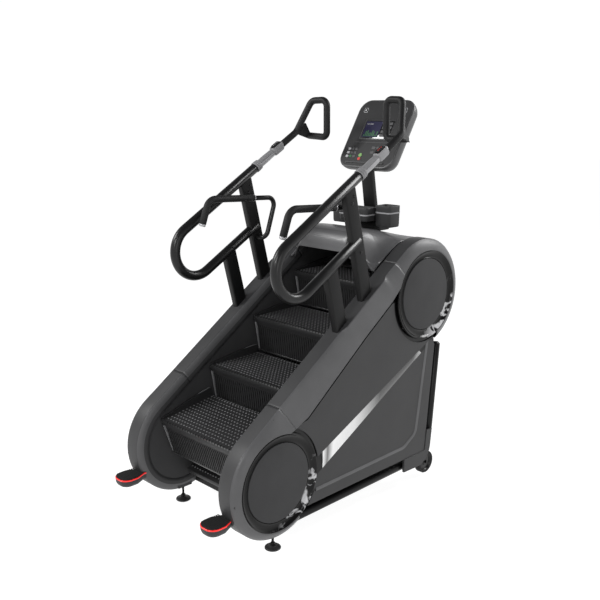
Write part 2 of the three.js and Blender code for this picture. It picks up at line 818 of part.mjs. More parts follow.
// A square bin with rounded vertical edges.
function binBlock(x0, x1, y0, y1, z0, z1, r) {
  const shape = new THREE.Shape();
  shape.absarc(x1 - r, y1 - r, r, 0, Math.PI / 2);
  shape.absarc(x0 + r, y1 - r, r, Math.PI / 2, Math.PI);
  shape.absarc(x0 + r, y0 + r, r, Math.PI, 1.5 * Math.PI);
  shape.absarc(x1 - r, y0 + r, r, 1.5 * Math.PI, 2 * Math.PI);
  return new THREE.ExtrudeGeometry(shape, {
    depth: z1 - z0,
    bevelEnabled: false,
    curveSegments: 3,
  }).translate(0, 0, z0);
}

const CUP = { x0: 102, x1: 204, y0: 508, y1: 606, z0: 1384, z1: 1496 };
const TRAY = { half: 98, y0: 446, y1: 540, z0: 1412, z1: 1482 };

function accessoryTray() {
  const pieces = [binBlock(-TRAY.half, TRAY.half, TRAY.y0, TRAY.y1, TRAY.z0, TRAY.z1, 18)];
  const hollows = [
    binBlock(-TRAY.half + 5, TRAY.half - 5, TRAY.y0 + 5, TRAY.y1 - 5, TRAY.z0 + 5, 1510, 14),
  ];
  pieces.push(box(-30, 30, TRAY.y1 - 3, mastAt(TRAY.z0 + 40) - MAST.halfY - GAP, TRAY.z0, TRAY.z0 + 40));
  for (const side of [-1, 1]) {
    const [x0, x1] = spread(side, CUP.x0, CUP.x1);
    const [h0, h1] = spread(side, CUP.x0 + 5, CUP.x1 - 5);
    pieces.push(binBlock(x0, x1, CUP.y0, CUP.y1, CUP.z0, CUP.z1, 18));
    pieces.push(box(...spread(side, 90, 106), 520, 538, TRAY.z0, TRAY.z1 - 8));
    hollows.push(binBlock(h0, h1, CUP.y0 + 5, CUP.y1 - 5, CUP.z0 + 5, 1510, 14));
  }
  return cut(join(...pieces), ...hollows);
}

// The console is drawn flat and then tilted: u across, v up the face, w out of it.
const CONSOLE = { width: 374, height: 412, tilt: THREE.MathUtils.degToRad(31.7), y: 632, z: 1862 };
const FACE_DEPTH = 10;

function tilted(geometry) {
  return geometry
    .rotateX(Math.PI / 2 - CONSOLE.tilt)
    .translate(0, CONSOLE.y, CONSOLE.z);
}

function roundedBlock(width, height, radius, w0, w1, bevel = 0) {
  const x = width / 2 - radius - bevel;
  const y = height / 2 - radius - bevel;
  const shape = new THREE.Shape();
  shape.absarc(x, y, radius, 0, Math.PI / 2);
  shape.absarc(-x, y, radius, Math.PI / 2, Math.PI);
  shape.absarc(-x, -y, radius, Math.PI, 1.5 * Math.PI);
  shape.absarc(x, -y, radius, 1.5 * Math.PI, 2 * Math.PI);
  return new THREE.ExtrudeGeometry(shape, {
    depth: w1 - w0 - 2 * bevel,
    bevelEnabled: bevel > 0,
    bevelThickness: bevel,
    bevelSize: bevel,
    bevelSegments: 1,
    curveSegments: 4,
  }).translate(0, 0, w0 + bevel);
}

const consoleHousing = () => {
  const shell = roundedBlock(CONSOLE.width, CONSOLE.height, 66, -82, -FACE_DEPTH - GAP, 12);
  const mastSocket = slanted(1600, 1690 + GAP, MAST.halfX, MAST.halfY + 1);
  return cut(tilted(shell), mastSocket);
};

const KEYS = [
  ["start_key", -48, -134, 11, GREEN],
  ["stop_key", -48, -156, 9, RED],
];

const consoleFace = () => {
  const face = roundedBlock(CONSOLE.width - 6, CONSOLE.height - 6, 72, -FACE_DEPTH, 0);
  const screen = roundedBlock(200, 106, 5, -3, 5).translate(0, 22, 0);
  const keyHoles = KEYS.map(([, u, v, r]) =>
    new THREE.CylinderGeometry(r + GAP, r + GAP, 12, 20).rotateX(Math.PI / 2).translate(u, v, 0),
  );
  return tilted(cut(face, screen, ...keyHoles));
};

const consoleKey = (u, v, r) =>
  tilted(
    new THREE.CylinderGeometry(r, r, 7, 20).rotateX(Math.PI / 2).translate(u, v, -0.5),
  );

const controlBox = () => box(-120, 120, 440, 540, CROSS_TOP + GAP, 330);

// ---------------------------------------------------------------- assembly
const RIGHT_AND_LEFT = [["right", 1], ["left", -1]];
const MIRRORED = [
  ["band_cover", bandCover, GRAPHITE],
  ["side_panel", sidePanel, CHARCOAL],
  ["corner_cover", cornerCover, GRAPHITE],
  ["lower_disc", () => coverDisc(LOW_SHAFT), CHARCOAL],
  ["upper_disc", () => coverDisc(TOP_SHAFT), CHARCOAL],
  ["handrail", handrail, BLACK_STEEL],
  ["upper_grip", upperGrip, BLACK_PLASTIC],
  ["pulse_grip", pulseGrip, GREY_METAL],
  ["switch_housing", switchHousing, GREY_METAL],
  ["inner_grip", innerGrip, RUBBER],
  ["pedal", pedal, BLACK_PLASTIC],
  ["incline_plate", inclinePlate, BLACK_STEEL],
  ["chain", chain, BARE_STEEL],
];

for (const [sideName, side] of RIGHT_AND_LEFT) {
  const half = new THREE.Group();
  half.scale.x = side;
  machine.add(half);
  for (const [name, make, material] of MIRRORED) {
    place(sideName + "_" + name, make(), material, half);
  }
  place(sideName + "_switch_button", switchButton(), side > 0 ? RED : GREEN, half);
  place(sideName + "_transport_wheel", wheel(side), GRAPHITE);
}

for (const [corner, x, y] of FEET) {
  place(corner + "_foot", foot(x, y), RUBBER);
}
for (let number = 1; number <= STEP_COUNT; number++) {
  placeStep(number);
}
place("base_frame", baseFrame(), BLACK_STEEL);
place("drive_shaft", driveShaft(), BARE_STEEL);
place("idler_shaft", idlerShaft(), BARE_STEEL);
place("alternator", alternator(), BARE_STEEL);
place("alternator_pulley", alternatorPulley(), BARE_STEEL);
place("drive_belt", driveBelt(), RUBBER);
place("control_box", controlBox(), BLACK_PLASTIC);
place("hood", hood(), LIGHT_HOOD);
place("front_cover", frontCover(), GRAPHITE);
place("mast_bridge", mastBridge(), BLACK_STEEL);
place("console_mast", mast(), BLACK_STEEL);
place("accessory_tray", accessoryTray(), BLACK_PLASTIC);
place("console_housing", consoleHousing(), GRAPHITE);
place("console_face", consoleFace(), BLACK_PLASTIC);
for (const [name, u, v, r, material] of KEYS) {
  place(name, consoleKey(u, v, r), material);
}

export default machine;
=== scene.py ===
"""A revolving-stair climber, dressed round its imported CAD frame. Lengths are in mm until a mesh is made."""

import math

import bmesh
import bpy
from mathutils import Matrix, Vector


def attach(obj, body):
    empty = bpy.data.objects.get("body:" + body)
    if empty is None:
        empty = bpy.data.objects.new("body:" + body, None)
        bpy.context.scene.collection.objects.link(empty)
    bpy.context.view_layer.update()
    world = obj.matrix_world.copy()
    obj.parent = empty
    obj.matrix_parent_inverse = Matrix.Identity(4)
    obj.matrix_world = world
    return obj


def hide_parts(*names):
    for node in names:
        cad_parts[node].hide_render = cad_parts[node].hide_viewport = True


MM = 0.001

# Driving dimensions, the same as the CAD's. A pair is a point (y, z).
LOW = (-481.0, 358.0)
TOP = (568.0, 1058.0)
SPAN = math.dist(LOW, TOP)
INCLINE = math.atan2(TOP[1] - LOW[1], TOP[0] - LOW[0])
STEP_RISE = 203.0
STEP_PITCH = STEP_RISE / math.sin(INCLINE)
STEP_COUNT = 9
PITCH_R = (STEP_COUNT * STEP_PITCH - 2 * SPAN) / (2 * math.pi)
FIRST_STEP = -19.0
NOSING_HEIGHT = 200.0
STEP_HALF = 288.0
LOW_R = 270.0
TOP_R = 285.0
TAPER = math.asin((TOP_R - LOW_R) / SPAN)
UPRIGHT = INCLINE + TAPER + math.pi / 2
RING_R = 232.0
DISC_R = 186.0
COVER_IN = 300.0
COVER_OUT = 420.0
TOP_FACE_OUT = 391.0
RECESS = ((-387.0, 592.0), (-308.0, 626.0), (88.0, 930.0), (283.0, 1068.0), (371.0, 1151.0))
PANEL_X = 408.0
PANEL_IN = 402.0
PANEL_LOW = 178.0
PANEL_GAP = 255.0
CREASE = ((-196.0, 421.0), (529.0, 760.0))
FACET = ((-192.0, 334.0), (556.0, 742.0))
ACCENT = ((-238.0, 240.0), (430.0, 246.0), (527.0, 300.0), (604.0, 800.0))
RAIL_X = 360.0
RAIL_R = 25.0
RAIL_SLOPE = math.radians(30.3)
RAIL_REFERENCE = (387.0, 1866.0)
LOOP_CENTRE = (-317.0, 1301.5)
LOOP_R = 129.0
TALL_POST = (140.0, 1100.0)
SHORT_POST = (-43.0, 1007.0)
POST_LEAN = 0.249
GRIP_X = 285.0
SWITCH_AT = 165.0
PEDAL_X = 332.0
WHEEL = (660.0, 84.0)
HOOD_HALF = 297.0
CONSOLE_TILT = math.radians(31.7)
CONSOLE_CENTRE = (632.0, 1862.0)
SIDES = (("right", 1), ("left", -1))
FEET = (
    ("left_rear", -343, -462),
    ("right_rear", 343, -462),
    ("left_front", -200, 500),
    ("right_front", 200, 500),
)

CAMERA_PLACE = (2.856, -2.783, 2.000)
CAMERA_TURN = (90 - 13.37, 0, 45.15)
CAMERA_LENS = 48.78
FLOOR_REACH = 30


# ------------------------------------------------------------------ mesh helpers
def piece(name, shape, material, node=None, body="machine", smooth=35, side=1, edge=None):
    """A mesh object from (verts, faces). side=-1 mirrors it to the left, node is the CAD node that it
    stands for, and edge is the (width, segments) of a bevel."""
    verts, faces = shape
    mesh = bpy.data.meshes.new(name)
    points = [(x * side * MM, y * MM, z * MM) for x, y, z in verts]
    mesh.from_pydata(points, [], [tuple(f) if side > 0 else tuple(reversed(f)) for f in faces])
    mesh.update()
    mesh.materials.append(material)
    finish_mesh(mesh, smooth, weld=True)
    obj = bpy.data.objects.new(name, mesh)
    bpy.context.scene.collection.objects.link(obj)
    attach(obj, body)
    if edge:
        bevel(obj, *edge)
    if node:
        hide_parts(node)
    return obj


def finish_mesh(mesh, smooth, weld):
    """Welds doubled points, turns the faces outwards and marks edges sharper than the angle smooth."""
    work = bmesh.new()
    work.from_mesh(mesh)
    if weld:
        bmesh.ops.remove_doubles(work, verts=work.verts, dist=1e-6)
    bmesh.ops.recalc_face_normals(work, faces=work.faces)
    work.to_mesh(mesh)
    work.free()
    mesh.shade_smooth()
    mesh.set_sharp_from_angle(angle=math.radians(smooth))


def bevel(obj, width, segments):
    modifier = obj.modifiers.new("edge", "BEVEL")
    modifier.width = width * MM
    modifier.segments = segments
    modifier.limit_method = "ANGLE"
    modifier.angle_limit = math.radians(35)
    modifier.harden_normals = True


def thicken(obj, amount, offset=-1):
    modifier = obj.modifiers.new("wall", "SOLIDIFY")
    modifier.thickness = amount * MM
    modifier.offset = offset


def loft(rings, closed=True, cap=True, loop=False):
    """Joins rows of points into a surface. closed joins each row's ends, loop the last row to the first."""
    verts = [p for ring in rings for p in ring]
    count = len(rings[0])
    faces = []
    rows = len(rings) if loop else len(rings) - 1
    for i in range(rows):
        a, b = i * count, ((i + 1) % len(rings)) * count
        for j in range(count if closed else count - 1):
            k = (j + 1) % count
            faces.append((a + j, a + k, b + k, b + j))
    if cap and closed and not loop:
        faces.append(tuple(range(count)))
        faces.append(tuple((len(rings) - 1) * count + j for j in range(count)))
    return verts, faces


def merge(*parts):
    """Several (verts, faces) as one."""
    verts, faces = [], []
    for v, f in parts:
        base = len(verts)
        verts += v
        faces += [tuple(i + base for i in face) for face in f]
    return verts, faces


def prism(outline, x0, x1):
    """An outline in (y, z), extruded between two x planes."""
    return loft([[(x, y, z) for y, z in outline] for x in (x0, x1)])


def box(x0, x1, y0, y1, z0, z1):
    return prism([(y0, z0), (y1, z0), (y1, z1), (y0, z1)], x0, x1)


def ordered(side, near, far):
    """Two distances from the middle as x planes on one side, the lower one first."""
    return sorted((side * near, side * far))


def ramped(start, end, steps):
    """Evenly spaced values from start to end, both included."""
    return [start + (end - start) * i / steps for i in range(steps + 1)]


def arc(centre, radius, start, end, steps):
    headings = ramped(start, end, steps)
    return [(centre[0] + radius * math.cos(a), centre[1] + radius * math.sin(a)) for a in headings]


def lathe(centre, profile, steps=96):
    """A profile of (radius, x) turned about the x axis through centre (y, z)."""
    rings = []
    for i in range(steps):
        a = 2 * math.pi * i / steps
        rings.append([(x, centre[0] + r * math.cos(a), centre[1] + r * math.sin(a)) for r, x in profile])
    return loft(rings, closed=False, cap=False, loop=True)


def turned(x, y, profile, steps):
    """A profile of (radius, z) turned about the upright axis through (x, y)."""
    rings = []
    for i in range(steps):
        a = 2 * math.pi * i / steps
        rings.append([(x + r * math.cos(a), y + r * math.sin(a), z) for r, z in profile])
    return loft(rings, closed=False, cap=False, loop=True)


def fillet(corners, radius, steps=8):
    """A route with its inner corners rounded. radius is one number, or one for each inner corner."""
    points = [Vector(c) for c in corners]
    radii = radius if isinstance(radius, list) else [radius] * (len(points) - 2)
    route = [points[0]]
    for i in range(1, len(points) - 1):
        back = (points[i - 1] - points[i]).normalized()
        ahead = (points[i + 1] - points[i]).normalized()
        half = back.angle(ahead) / 2
        start = points[i] + back * (radii[i - 1] / math.tan(half))
        centre = points[i] + (back + ahead).normalized() * (radii[i - 1] / math.sin(half))
        axis = back.cross(start - centre).normalized()
        for k in range(steps + 1):
            turn = Matrix.Rotation((math.pi - 2 * half) * k / steps, 3, axis)
            route.append(centre + turn @ (start - centre))
    route.append(points[-1])
    return route


def flat_fillet(corners, radius, steps):
    """fillet() for an outline of pairs."""
    return [(p.x, p.y) for p in fillet([(a, b, 0) for a, b in corners], radius, steps)]


def frames(route):
    """A tangent and a steady pair of normals at each station of a route."""
    tangents = []
    for i in range(len(route)):
        tangents.append((route[min(i + 1, len(route) - 1)] - route[max(i - 1, 0)]).normalized())
    normal = tangents[0].orthogonal().normalized()
    result = []
    for tangent in tangents:
        normal = (normal - tangent * normal.dot(tangent)).normalized()
        result.append((tangent, normal.copy(), tangent.cross(normal)))
    return result


def tube(route, radius, sides=28, ends=2.0):
    """A round tube along a route, its two ends closed with a small rounding. radius may be a list."""
    spots = [Vector(p) for p in route]
    axes = frames(spots)
    last = len(spots) - 1
    radii = radius if isinstance(radius, list) else [radius] * len(spots)

    def ring(i, shift, r):
        tangent, n, b = axes[i]
        centre = spots[i] + tangent * shift
        return [
            tuple(centre + (n * math.cos(a) + b * math.sin(a)) * r)
            for a in (2 * math.pi * k / sides for k in range(sides))
        ]

    rings = [ring(0, 0, radii[0] - ends)]
    for i in range(len(spots)):
        shift = ends if i == 0 else (-ends if i == last else 0)
        rings.append(ring(i, shift, radii[i]))
    rings.append(ring(last, 0, radii[last] - ends))
    return loft(rings)


def rounded_rect(x0, x1, y0, y1, radius, steps=6):
    """A rectangle's outline with round corners."""
    corners = ((x1 - radius, y1 - radius), (x0 + radius, y1 - radius))
    corners += ((x0 + radius, y0 + radius), (x1 - radius, y0 + radius))
    points = []
    for quarter, corner in enumerate(corners):
        points += arc(corner, radius, quarter * math.pi / 2, (quarter + 1) * math.pi / 2, steps)
    return points


def slab(outline, levels):
    """A flat piece from an (x, y) outline through (height, inset) levels."""
    cx = sum(p[0] for p in outline) / len(outline)
    cy = sum(p[1] for p in outline) / len(outline)
    rings = []
    for height, inset in levels:
        ring = []
        for x, y in outline:
            keep = 1 - inset / math.hypot(x - cx, y - cy)
            ring.append((cx + (x - cx) * keep, cy + (y - cy) * keep, height))
        rings.append(ring)
    return loft(rings)


# ------------------------------------------------------------------ materials
def add_node(material, kind, inputs=(), **attributes):
    """A new shader node, with its (input, value) pairs and its attributes set."""
    made = material.node_tree.nodes.new("ShaderNode" + kind)
    for key, value in attributes.items():
        setattr(made, key, value)
    for key, value in inputs:
        made.inputs[key].default_value = value
    return made


def join(material, source, output, target, socket):
    material.node_tree.links.new(source.outputs[output], target.inputs[socket])


def add_ramp(material, shades):
    """A colour ramp through (position, colour) pairs."""
    made = add_node(material, "ValToRGB")
    elements = made.color_ramp.elements
    while len(elements) < len(shades):
        elements.new(0.5)
    for element, (position, color) in zip(elements, shades):
        element.position = position
        element.color = (*color, 1)
    return made


def shader_of(material):
    return material.node_tree.nodes["Principled BSDF"]


def surface(name, color, roughness, metallic=0.0, specular=0.5, coat=0.0, mottle=0.12, grain=0.0,
            grain_scale=900.0, wear=0.05):
    """A Principled material whose colour and roughness vary a little, with a fine grain."""
    material = bpy.data.materials.new(name)
    material.use_nodes = True
    shader = shader_of(material)
    shader.inputs["Metallic"].default_value = metallic
    shader.inputs["Specular IOR Level"].default_value = specular
    shader.inputs["Coat Weight"].default_value = coat
    shader.inputs["Coat Roughness"].default_value = 0.08
    where = add_node(material, "TexCoord")
    cloud = add_node(material, "TexNoise", (("Scale", 6.0), ("Detail", 6.0)))
    join(material, where, "Object", cloud, "Vector")
    low = [c * (1 - mottle) for c in color]
    high = [min(c * (1 + mottle), 1.0) for c in color]
    tint = add_ramp(material, ((0.3, low), (0.7, high)))
    join(material, cloud, "Fac", tint, "Fac")
    join(material, tint, "Color", shader, "Base Color")
    limits = (("To Min", max(roughness - wear, 0.02)), ("To Max", min(roughness + wear, 1.0)))
    rough = add_node(material, "MapRange", limits)
    join(material, cloud, "Fac", rough, "Value")
    join(material, rough, "Result", shader, "Roughness")
    if grain > 0:
        fine = add_node(material, "TexNoise", (("Scale", grain_scale), ("Detail", 3.0)))
        join(material, where, "Object", fine, "Vector")
        bump = add_node(material, "Bump", (("Strength", grain), ("Distance", 0.0004)))
        join(material, fine, "Fac", bump, "Height")
        join(material, bump, "Normal", shader, "Normal")
    return material


def grooved(material):
    """Adds fine upright grooves to a material's bump."""
    shader = shader_of(material)
    where = add_node(material, "TexCoord")
    wave = add_node(material, "TexWave", (("Scale", 26.0),), wave_type="BANDS", bands_direction="X")
    join(material, where, "Object", wave, "Vector")
    bump = add_node(material, "Bump", (("Strength", 0.5), ("Distance", 0.001)))
    join(material, wave, "Fac", bump, "Height")
    grain = shader.inputs["Normal"].links[0].from_node
    join(material, grain, "Normal", bump, "Normal")
    join(material, bump, "Normal", shader, "Normal")
    return material


# An emitting material: a real lamp for the screens, a painted glow on the pedal trim and the keys.
def glowing(name, color, strength):
    material = surface(name, color, 0.3, mottle=0.05)
    shader_of(material).inputs["Emission Color"].default_value = (*color, 1)
    shader_of(material).inputs["Emission Strength"].default_value = strength
    return material


def paint_ring_reflections(material):
    """Painted reflections: broken bright patches laid into the colour of a glossy ring's lower front."""
    where = add_node(material, "TexCoord")
    heading = add_node(material, "VectorMath", ((1, (0.0, 0.80, -0.60)),), operation="DOT_PRODUCT")
    join(material, where, "Generated", heading, 0)
    sector = add_node(material, "MapRange", (("From Min", 0.36), ("From Max", 0.52)))
    join(material, heading, "Value", sector, "Value")
    patches = add_node(material, "TexNoise", (("Scale", 17.0), ("Detail", 2.0), ("Distortion", 1.2)))
    join(material, where, "Object", patches, "Vector")
    broken = add_node(material, "MapRange", (("From Min", 0.52), ("From Max", 0.60)))
    join(material, patches, "Fac", broken, "Value")
    both = add_node(material, "Math", operation="MULTIPLY")
    join(material, sector, "Result", both, 0)
    join(material, broken, "Result", both, 1)
    shade = add_ramp(material, ((0.0, (0.004, 0.004, 0.004)), (1.0, (0.5, 0.5, 0.51))))
    join(material, both, "Value", shade, "Fac")
    join(material, shade, "Color", shader_of(material), "Base Color")
    return material


def paint_crease_highlight(material):
    """Paints a highlight into a facet's colour: bright at its low end, fading to dark at its far end, along
    y.
    """
    where = add_node(material, "TexCoord")
    split = add_node(material, "SeparateXYZ")
    join(material, where, "Object", split, "Vector")
    length = add_node(material, "MapRange", (("From Min", -0.2), ("From Max", 0.56)))
    join(material, split, "Y", length, "Value")
    shades = ((0.0, 0.9), (0.05, 0.12), (0.1, 0.75), (0.3, 0.62))
    shades += ((0.45, 0.28), (0.55, 0.05), (0.9, 0.03), (1.0, 0.4))
    shade = add_ramp(material, [(position, grey(value, 1.0)) for position, value in shades])
    join(material, length, "Result", shade, "Fac")
    join(material, shade, "Color", shader_of(material), "Base Color")
    return material


def floor_material():
    """A lit, nearly white floor."""
    material = surface("floor_pale", (0.3, 0.3, 0.3), 0.7, specular=0.0, mottle=0.01)
    shader_of(material).inputs["Emission Color"].default_value = (1, 1, 1, 1)
    shader_of(material).inputs["Emission Strength"].default_value = 0.93
    return material


def grey(value, blue=1.03):
    return (value, value, value * blue)


def make_materials():
    return {
        # cover, cover_top and inner_wall are one graphite plastic in three tones: the lighter cover grey is a
        # painted highlight on the bevel and fairing (the front panel gets it too), the darker ones paint the
        # top face and inner wall in shade
        "cover": surface("cover_graphite", grey(0.072), 0.42, specular=0.4, grain=0.1),
        "cover_top": surface("cover_top", grey(0.034), 0.48, specular=0.32, grain=0.15),
        "inner_wall": surface("inner_wall", grey(0.034), 0.6, specular=0.25, grain=0.15),
        "panel": surface("side_panel", grey(0.028), 0.48, specular=0.3, grain=0.1),
        # the crease facet's colour carries a painted highlight that fades along its length
        "crease": paint_crease_highlight(surface("panel_crease", grey(0.03), 0.22, metallic=0.55, specular=0.6, coat=0.4)),
        "accent": surface("panel_accent", grey(0.085), 0.35, specular=0.45, grain=0.08),
        # the ring's colour carries painted reflections on its lower front
        "ring": paint_ring_reflections(surface("ring_gloss", grey(0.004), 0.16, specular=0.16, coat=0.08)),
        "disc": surface("disc_matte", grey(0.034), 0.62, specular=0.22, grain=0.2),
        "base": surface("base_black", grey(0.004), 0.3, specular=0.22, grain=0.05),
        "tube": surface("tube_black", grey(0.006), 0.3, specular=0.3),
        "post": surface("post_black", grey(0.005), 0.4, specular=0.2, grain=0.08),
        "grip": surface("grip_rubber", grey(0.009), 0.5, specular=0.2, grain=0.4, grain_scale=1500),
        "foam": surface("foam", grey(0.011), 0.6, specular=0.22, grain=0.6, grain_scale=1900),
        "silver": surface("silver", grey(0.30), 0.36, metallic=0.6, grain=0.05, mottle=0.06),
        "silver_plastic": surface("silver_plastic", grey(0.19), 0.4, grain=0.1, mottle=0.05),
        "chrome": surface("bright_cap", grey(0.40), 0.3, metallic=0.5, mottle=0.04),
        "steel": surface("bare_steel", grey(0.3), 0.35, metallic=1.0, grain=0.1),
        "step": surface("step_plastic", grey(0.016), 0.5, specular=0.26, grain=0.25),
        "riser": grooved(surface("step_riser", grey(0.016), 0.5, specular=0.26, grain=0.15)),
        "stud": surface("step_stud", grey(0.13), 0.5, specular=0.35, grain=0.2),
        "lip": surface("step_lip", grey(0.020), 0.28, coat=0.25),
        "lip_painted_highlight": surface("step_lip_painted_highlight", grey(0.16), 0.22, specular=0.6, coat=0.4),
        "hood": surface("hood_grey", grey(0.078), 0.36, specular=0.45, grain=0.08, coat=0.1),
        "dark": surface("dark_inside", grey(0.006), 0.7, specular=0.15, grain=0.2),
        "rubber": surface("rubber", grey(0.012), 0.75, specular=0.25, grain=0.35),
        "pedal": surface("pedal_black", grey(0.026), 0.5, specular=0.3, grain=0.2),
        # the pedal's red trim line is no lamp; its emission is a painted glow
        "red": glowing("red_line_painted_glow", (0.75, 0.015, 0.012), 0.45),
        # the red and green keys and switch marks are no lamps; their faint emission is a painted glow
        "button_red": glowing("button_red", (0.50, 0.06, 0.05), 0.05),
        "button_green": glowing("button_green", (0.16, 0.30, 0.10), 0.05),
        "console_shell": surface("console_shell", grey(0.042), 0.42, specular=0.4, grain=0.12),
        "console_face": surface("console_face", grey(0.020), 0.34, specular=0.4, coat=0.1),
        "bezel": surface("screen_bezel", grey(0.004), 0.12, coat=0.5),
        "icon": surface("icon_white", grey(0.36), 0.5),
        "icon_dim": surface("icon_grey", grey(0.055), 0.5),
        "blue": glowing("screen_blue", (0.008, 0.007, 0.030), 0.25),
        "green": glowing("screen_green", (0.035, 0.10, 0.045), 0.2),
        "bin": surface("bin_plastic", grey(0.022), 0.5, specular=0.28, grain=0.15),
        "stripe": surface("stripe_grey", grey(0.24), 0.35),
        "screw": surface("screw_black", grey(0.004), 0.35, specular=0.4),
        "floor": floor_material(),
    }


# ------------------------------------------------------------------ side covers
LOW_STEPS = 60
RUN_STEPS = 120
TOP_STEPS = 64
SEAMS = (205.0, 1180.0)


def end_stations(centre, radius, start, end, steps):
    """Stations round one of a cover's two ends."""
    return [
        (point, (math.cos(a), math.sin(a)), radius - RING_R)
        for point, a in zip(arc(centre, radius, start, end, steps), ramped(start, end, steps))
    ]


def cover_stations():
    """Stations round a side cover: (outer point, outward normal, depth to the inner edge)."""
    low = end_stations(LOW, LOW_R, math.radians(300), UPRIGHT, LOW_STEPS)
    top = end_stations(TOP, TOP_R, UPRIGHT, math.radians(-66), TOP_STEPS)
    (y0, z0), (y1, z1) = low[-1][0], top[0][0]
    length = math.dist((y0, z0), (y1, z1))
    n = low[-1][1]
    run = []
    for i in range(1, RUN_STEPS):
        t = i / RUN_STEPS
        point = (y0 + (y1 - y0) * t, z0 + (z1 - z0) * t)
        run.append((point, n, straight_depth(point, n, length * t, length)))
    return low + run + top


def straight_depth(o, n, s, length):
    """How far below the top edge the recess runs, on the straight stretch."""
    depths = []
    if s < RING_R:
        depths.append(LOW_R - math.sqrt(RING_R**2 - s**2))
    if length - s < RING_R:
        depths.append(TOP_R - math.sqrt(RING_R**2 - (length - s) ** 2))
    corners = list(RECESS)
    a, b = corners[0], corners[1]
    corners[0] = (a[0] - 2 * (b[0] - a[0]), a[1] - 2 * (b[1] - a[1]))
    a, b = corners[-1], corners[-2]
    corners[-1] = (a[0] + 2 * (a[0] - b[0]), a[1] + 2 * (a[1] - b[1]))
    for (y0, z0), (y1, z1) in zip(corners, corners[1:]):
        dy, dz = y1 - y0, z1 - z0
        across = dy * n[1] - dz * n[0]
        t = ((o[0] - y0) * n[1] - (o[1] - z0) * n[0]) / across
        if 0 <= t <= 1:
            depths.append((o[0] - y0 - dy * t) * n[0] + (o[1] - z0 - dz * t) * n[1])
    return min(depths)


def post_bulge(y):
    """How much wider the top face is beside the posts."""
    rise = min(max((y + 60) / 34, 0), 1)
    fall = min(max((262 - y) / 30, 0), 1)
    t = min(rise, fall)
    return 12 * t * t * (3 - 2 * t)


def cover_profile(oy, n, w):
    """A cover's section as (x, depth), from its inner wall over the top to the outer recess."""
    wide = post_bulge(oy) if n[1] > 0.5 and oy < 400 else 0
    edge = TOP_FACE_OUT + wide
    run = COVER_OUT - edge
    inner = ((0, 62), (0, 46), (0.8, 32), (3, 19), (6.5, 9), (10.5, 3.2), (13, 1.6))
    groove = ((13.3, 2.1), (14.1, 2.1), (14.4, 0.2), (17, 0))
    return [(COVER_IN + x, depth) for x, depth in inner + groove] + [
        (edge - 1.6, 0),
        (edge - 0.3, 0.6),
        (edge + 1.2, 2.2),
        (edge + run * 0.28, w * 0.14),
        (edge + run * 0.56, w * 0.36),
        (edge + run * 0.80, w * 0.64),
        (COVER_OUT - 0.6, w - 4.0),
        (COVER_OUT, w - 2.0),
        (COVER_OUT - 1.2, w),
        (COVER_OUT - 5, w + 0.6),
        (COVER_OUT - 16, w + 1.0),
    ]


def cover_section(station):
    (oy, oz), n, w = station
    return [(x, oy - n[0] * d, oz - n[1] * d) for x, d in cover_profile(oy, n, w)]


def cover_shell(mat, side, name):
    """The cover, cut into three lengths that meet at thin seams."""
    sections = [cover_section(s) for s in cover_stations()]
    seams = [LOW_STEPS + round(RUN_STEPS * s / SPAN) for s in SEAMS]
    cuts = (0, *seams, len(sections) - 1)
    for number in range(3):
        rows = sections[cuts[number] : cuts[number + 1] + 1]
        if number > 0:
            rows[0] = nudge(rows[0], rows[1], 0.7)
        if number < 2:
            rows[-1] = nudge(rows[-1], rows[-2], 0.7)
        shape = loft(rows, closed=False, cap=False)
        part = f"{name}_cover_{number + 1}"
        shell = piece(part, shape, mat["cover"], f"{name}_band_cover", side=side, smooth=22)
        shell.data.materials.append(mat["cover_top"])
        shell.data.materials.append(mat["inner_wall"])
        paint_by_column(shell)
        thicken(shell, 2.2, 1)


def nudge(row, towards, distance):
    """Moves a row of points a little towards the next row."""
    moved = []
    for p, q in zip(row, towards):
        gap = Vector(q) - Vector(p)
        moved.append(tuple(Vector(p) + gap.normalized() * distance))
    return moved


def paint_by_column(shell):
    """Gives the top face and the inner wall darker copies of the cover's plastic; the lighter cover grey left
    on the outer bevel and the inner fairing is a painted highlight.
    """
    for face in shell.data.polygons:
        x = abs(face.center.x) / MM
        tilt = abs(face.normal.x)
        if x < COVER_IN + 1.5 and tilt > 0.9:
            face.material_index = 2
        elif COVER_IN + 14 < x < TOP_FACE_OUT + 12.5 and tilt < 0.35:
            face.material_index = 1


def inner_wall(mat, side, name):
    """The flat wall beside the steps, with its lower rear corner cut away for the frame."""
    inset = 51.0
    outline = [(-436.0, 92.0), (-436.0, 160.0), (-300.0, 160.0)]
    outline += arc(TOP, TOP_R - inset, math.radians(-64), UPRIGHT, 40)
    outline += arc(LOW, LOW_R - inset, UPRIGHT, math.radians(255), 40)
    outline += [(-520.0, 92.0)]
    wall = prism(outline, COVER_IN + 0.5, COVER_IN + 3.5)
    piece(f"{name}_inner_wall", wall, mat["inner_wall"], side=side)


def round_cover(mat, side, name, shaft, label):
    """A flat disc in a concave, glossy ring."""
    ring = ((5, 6), (3, 0.5), (0, 0), (-3, 1), (-8, 7), (-17, 14), (-28, 17.5), (-38, 17))
    ring = [(RING_R + r, COVER_OUT - depth) for r, depth in ring]
    ring += [(DISC_R + 3, COVER_OUT - 14), (DISC_R + 1, COVER_OUT - 16)]
    disc = ((0.01, 9), (DISC_R - 3, 9), (DISC_R - 1, 9.6), (DISC_R, 11), (DISC_R, 18))
    disc = [(r, COVER_OUT - depth) for r, depth in disc]
    node = f"{name}_{label}_disc"
    rim = lathe(shaft, ring, 128)
    piece(f"{name}_{label}_ring", rim, mat["ring"], node, side=side, smooth=50)
    piece(node, lathe(shaft, disc, 128), mat["disc"], node, side=side)


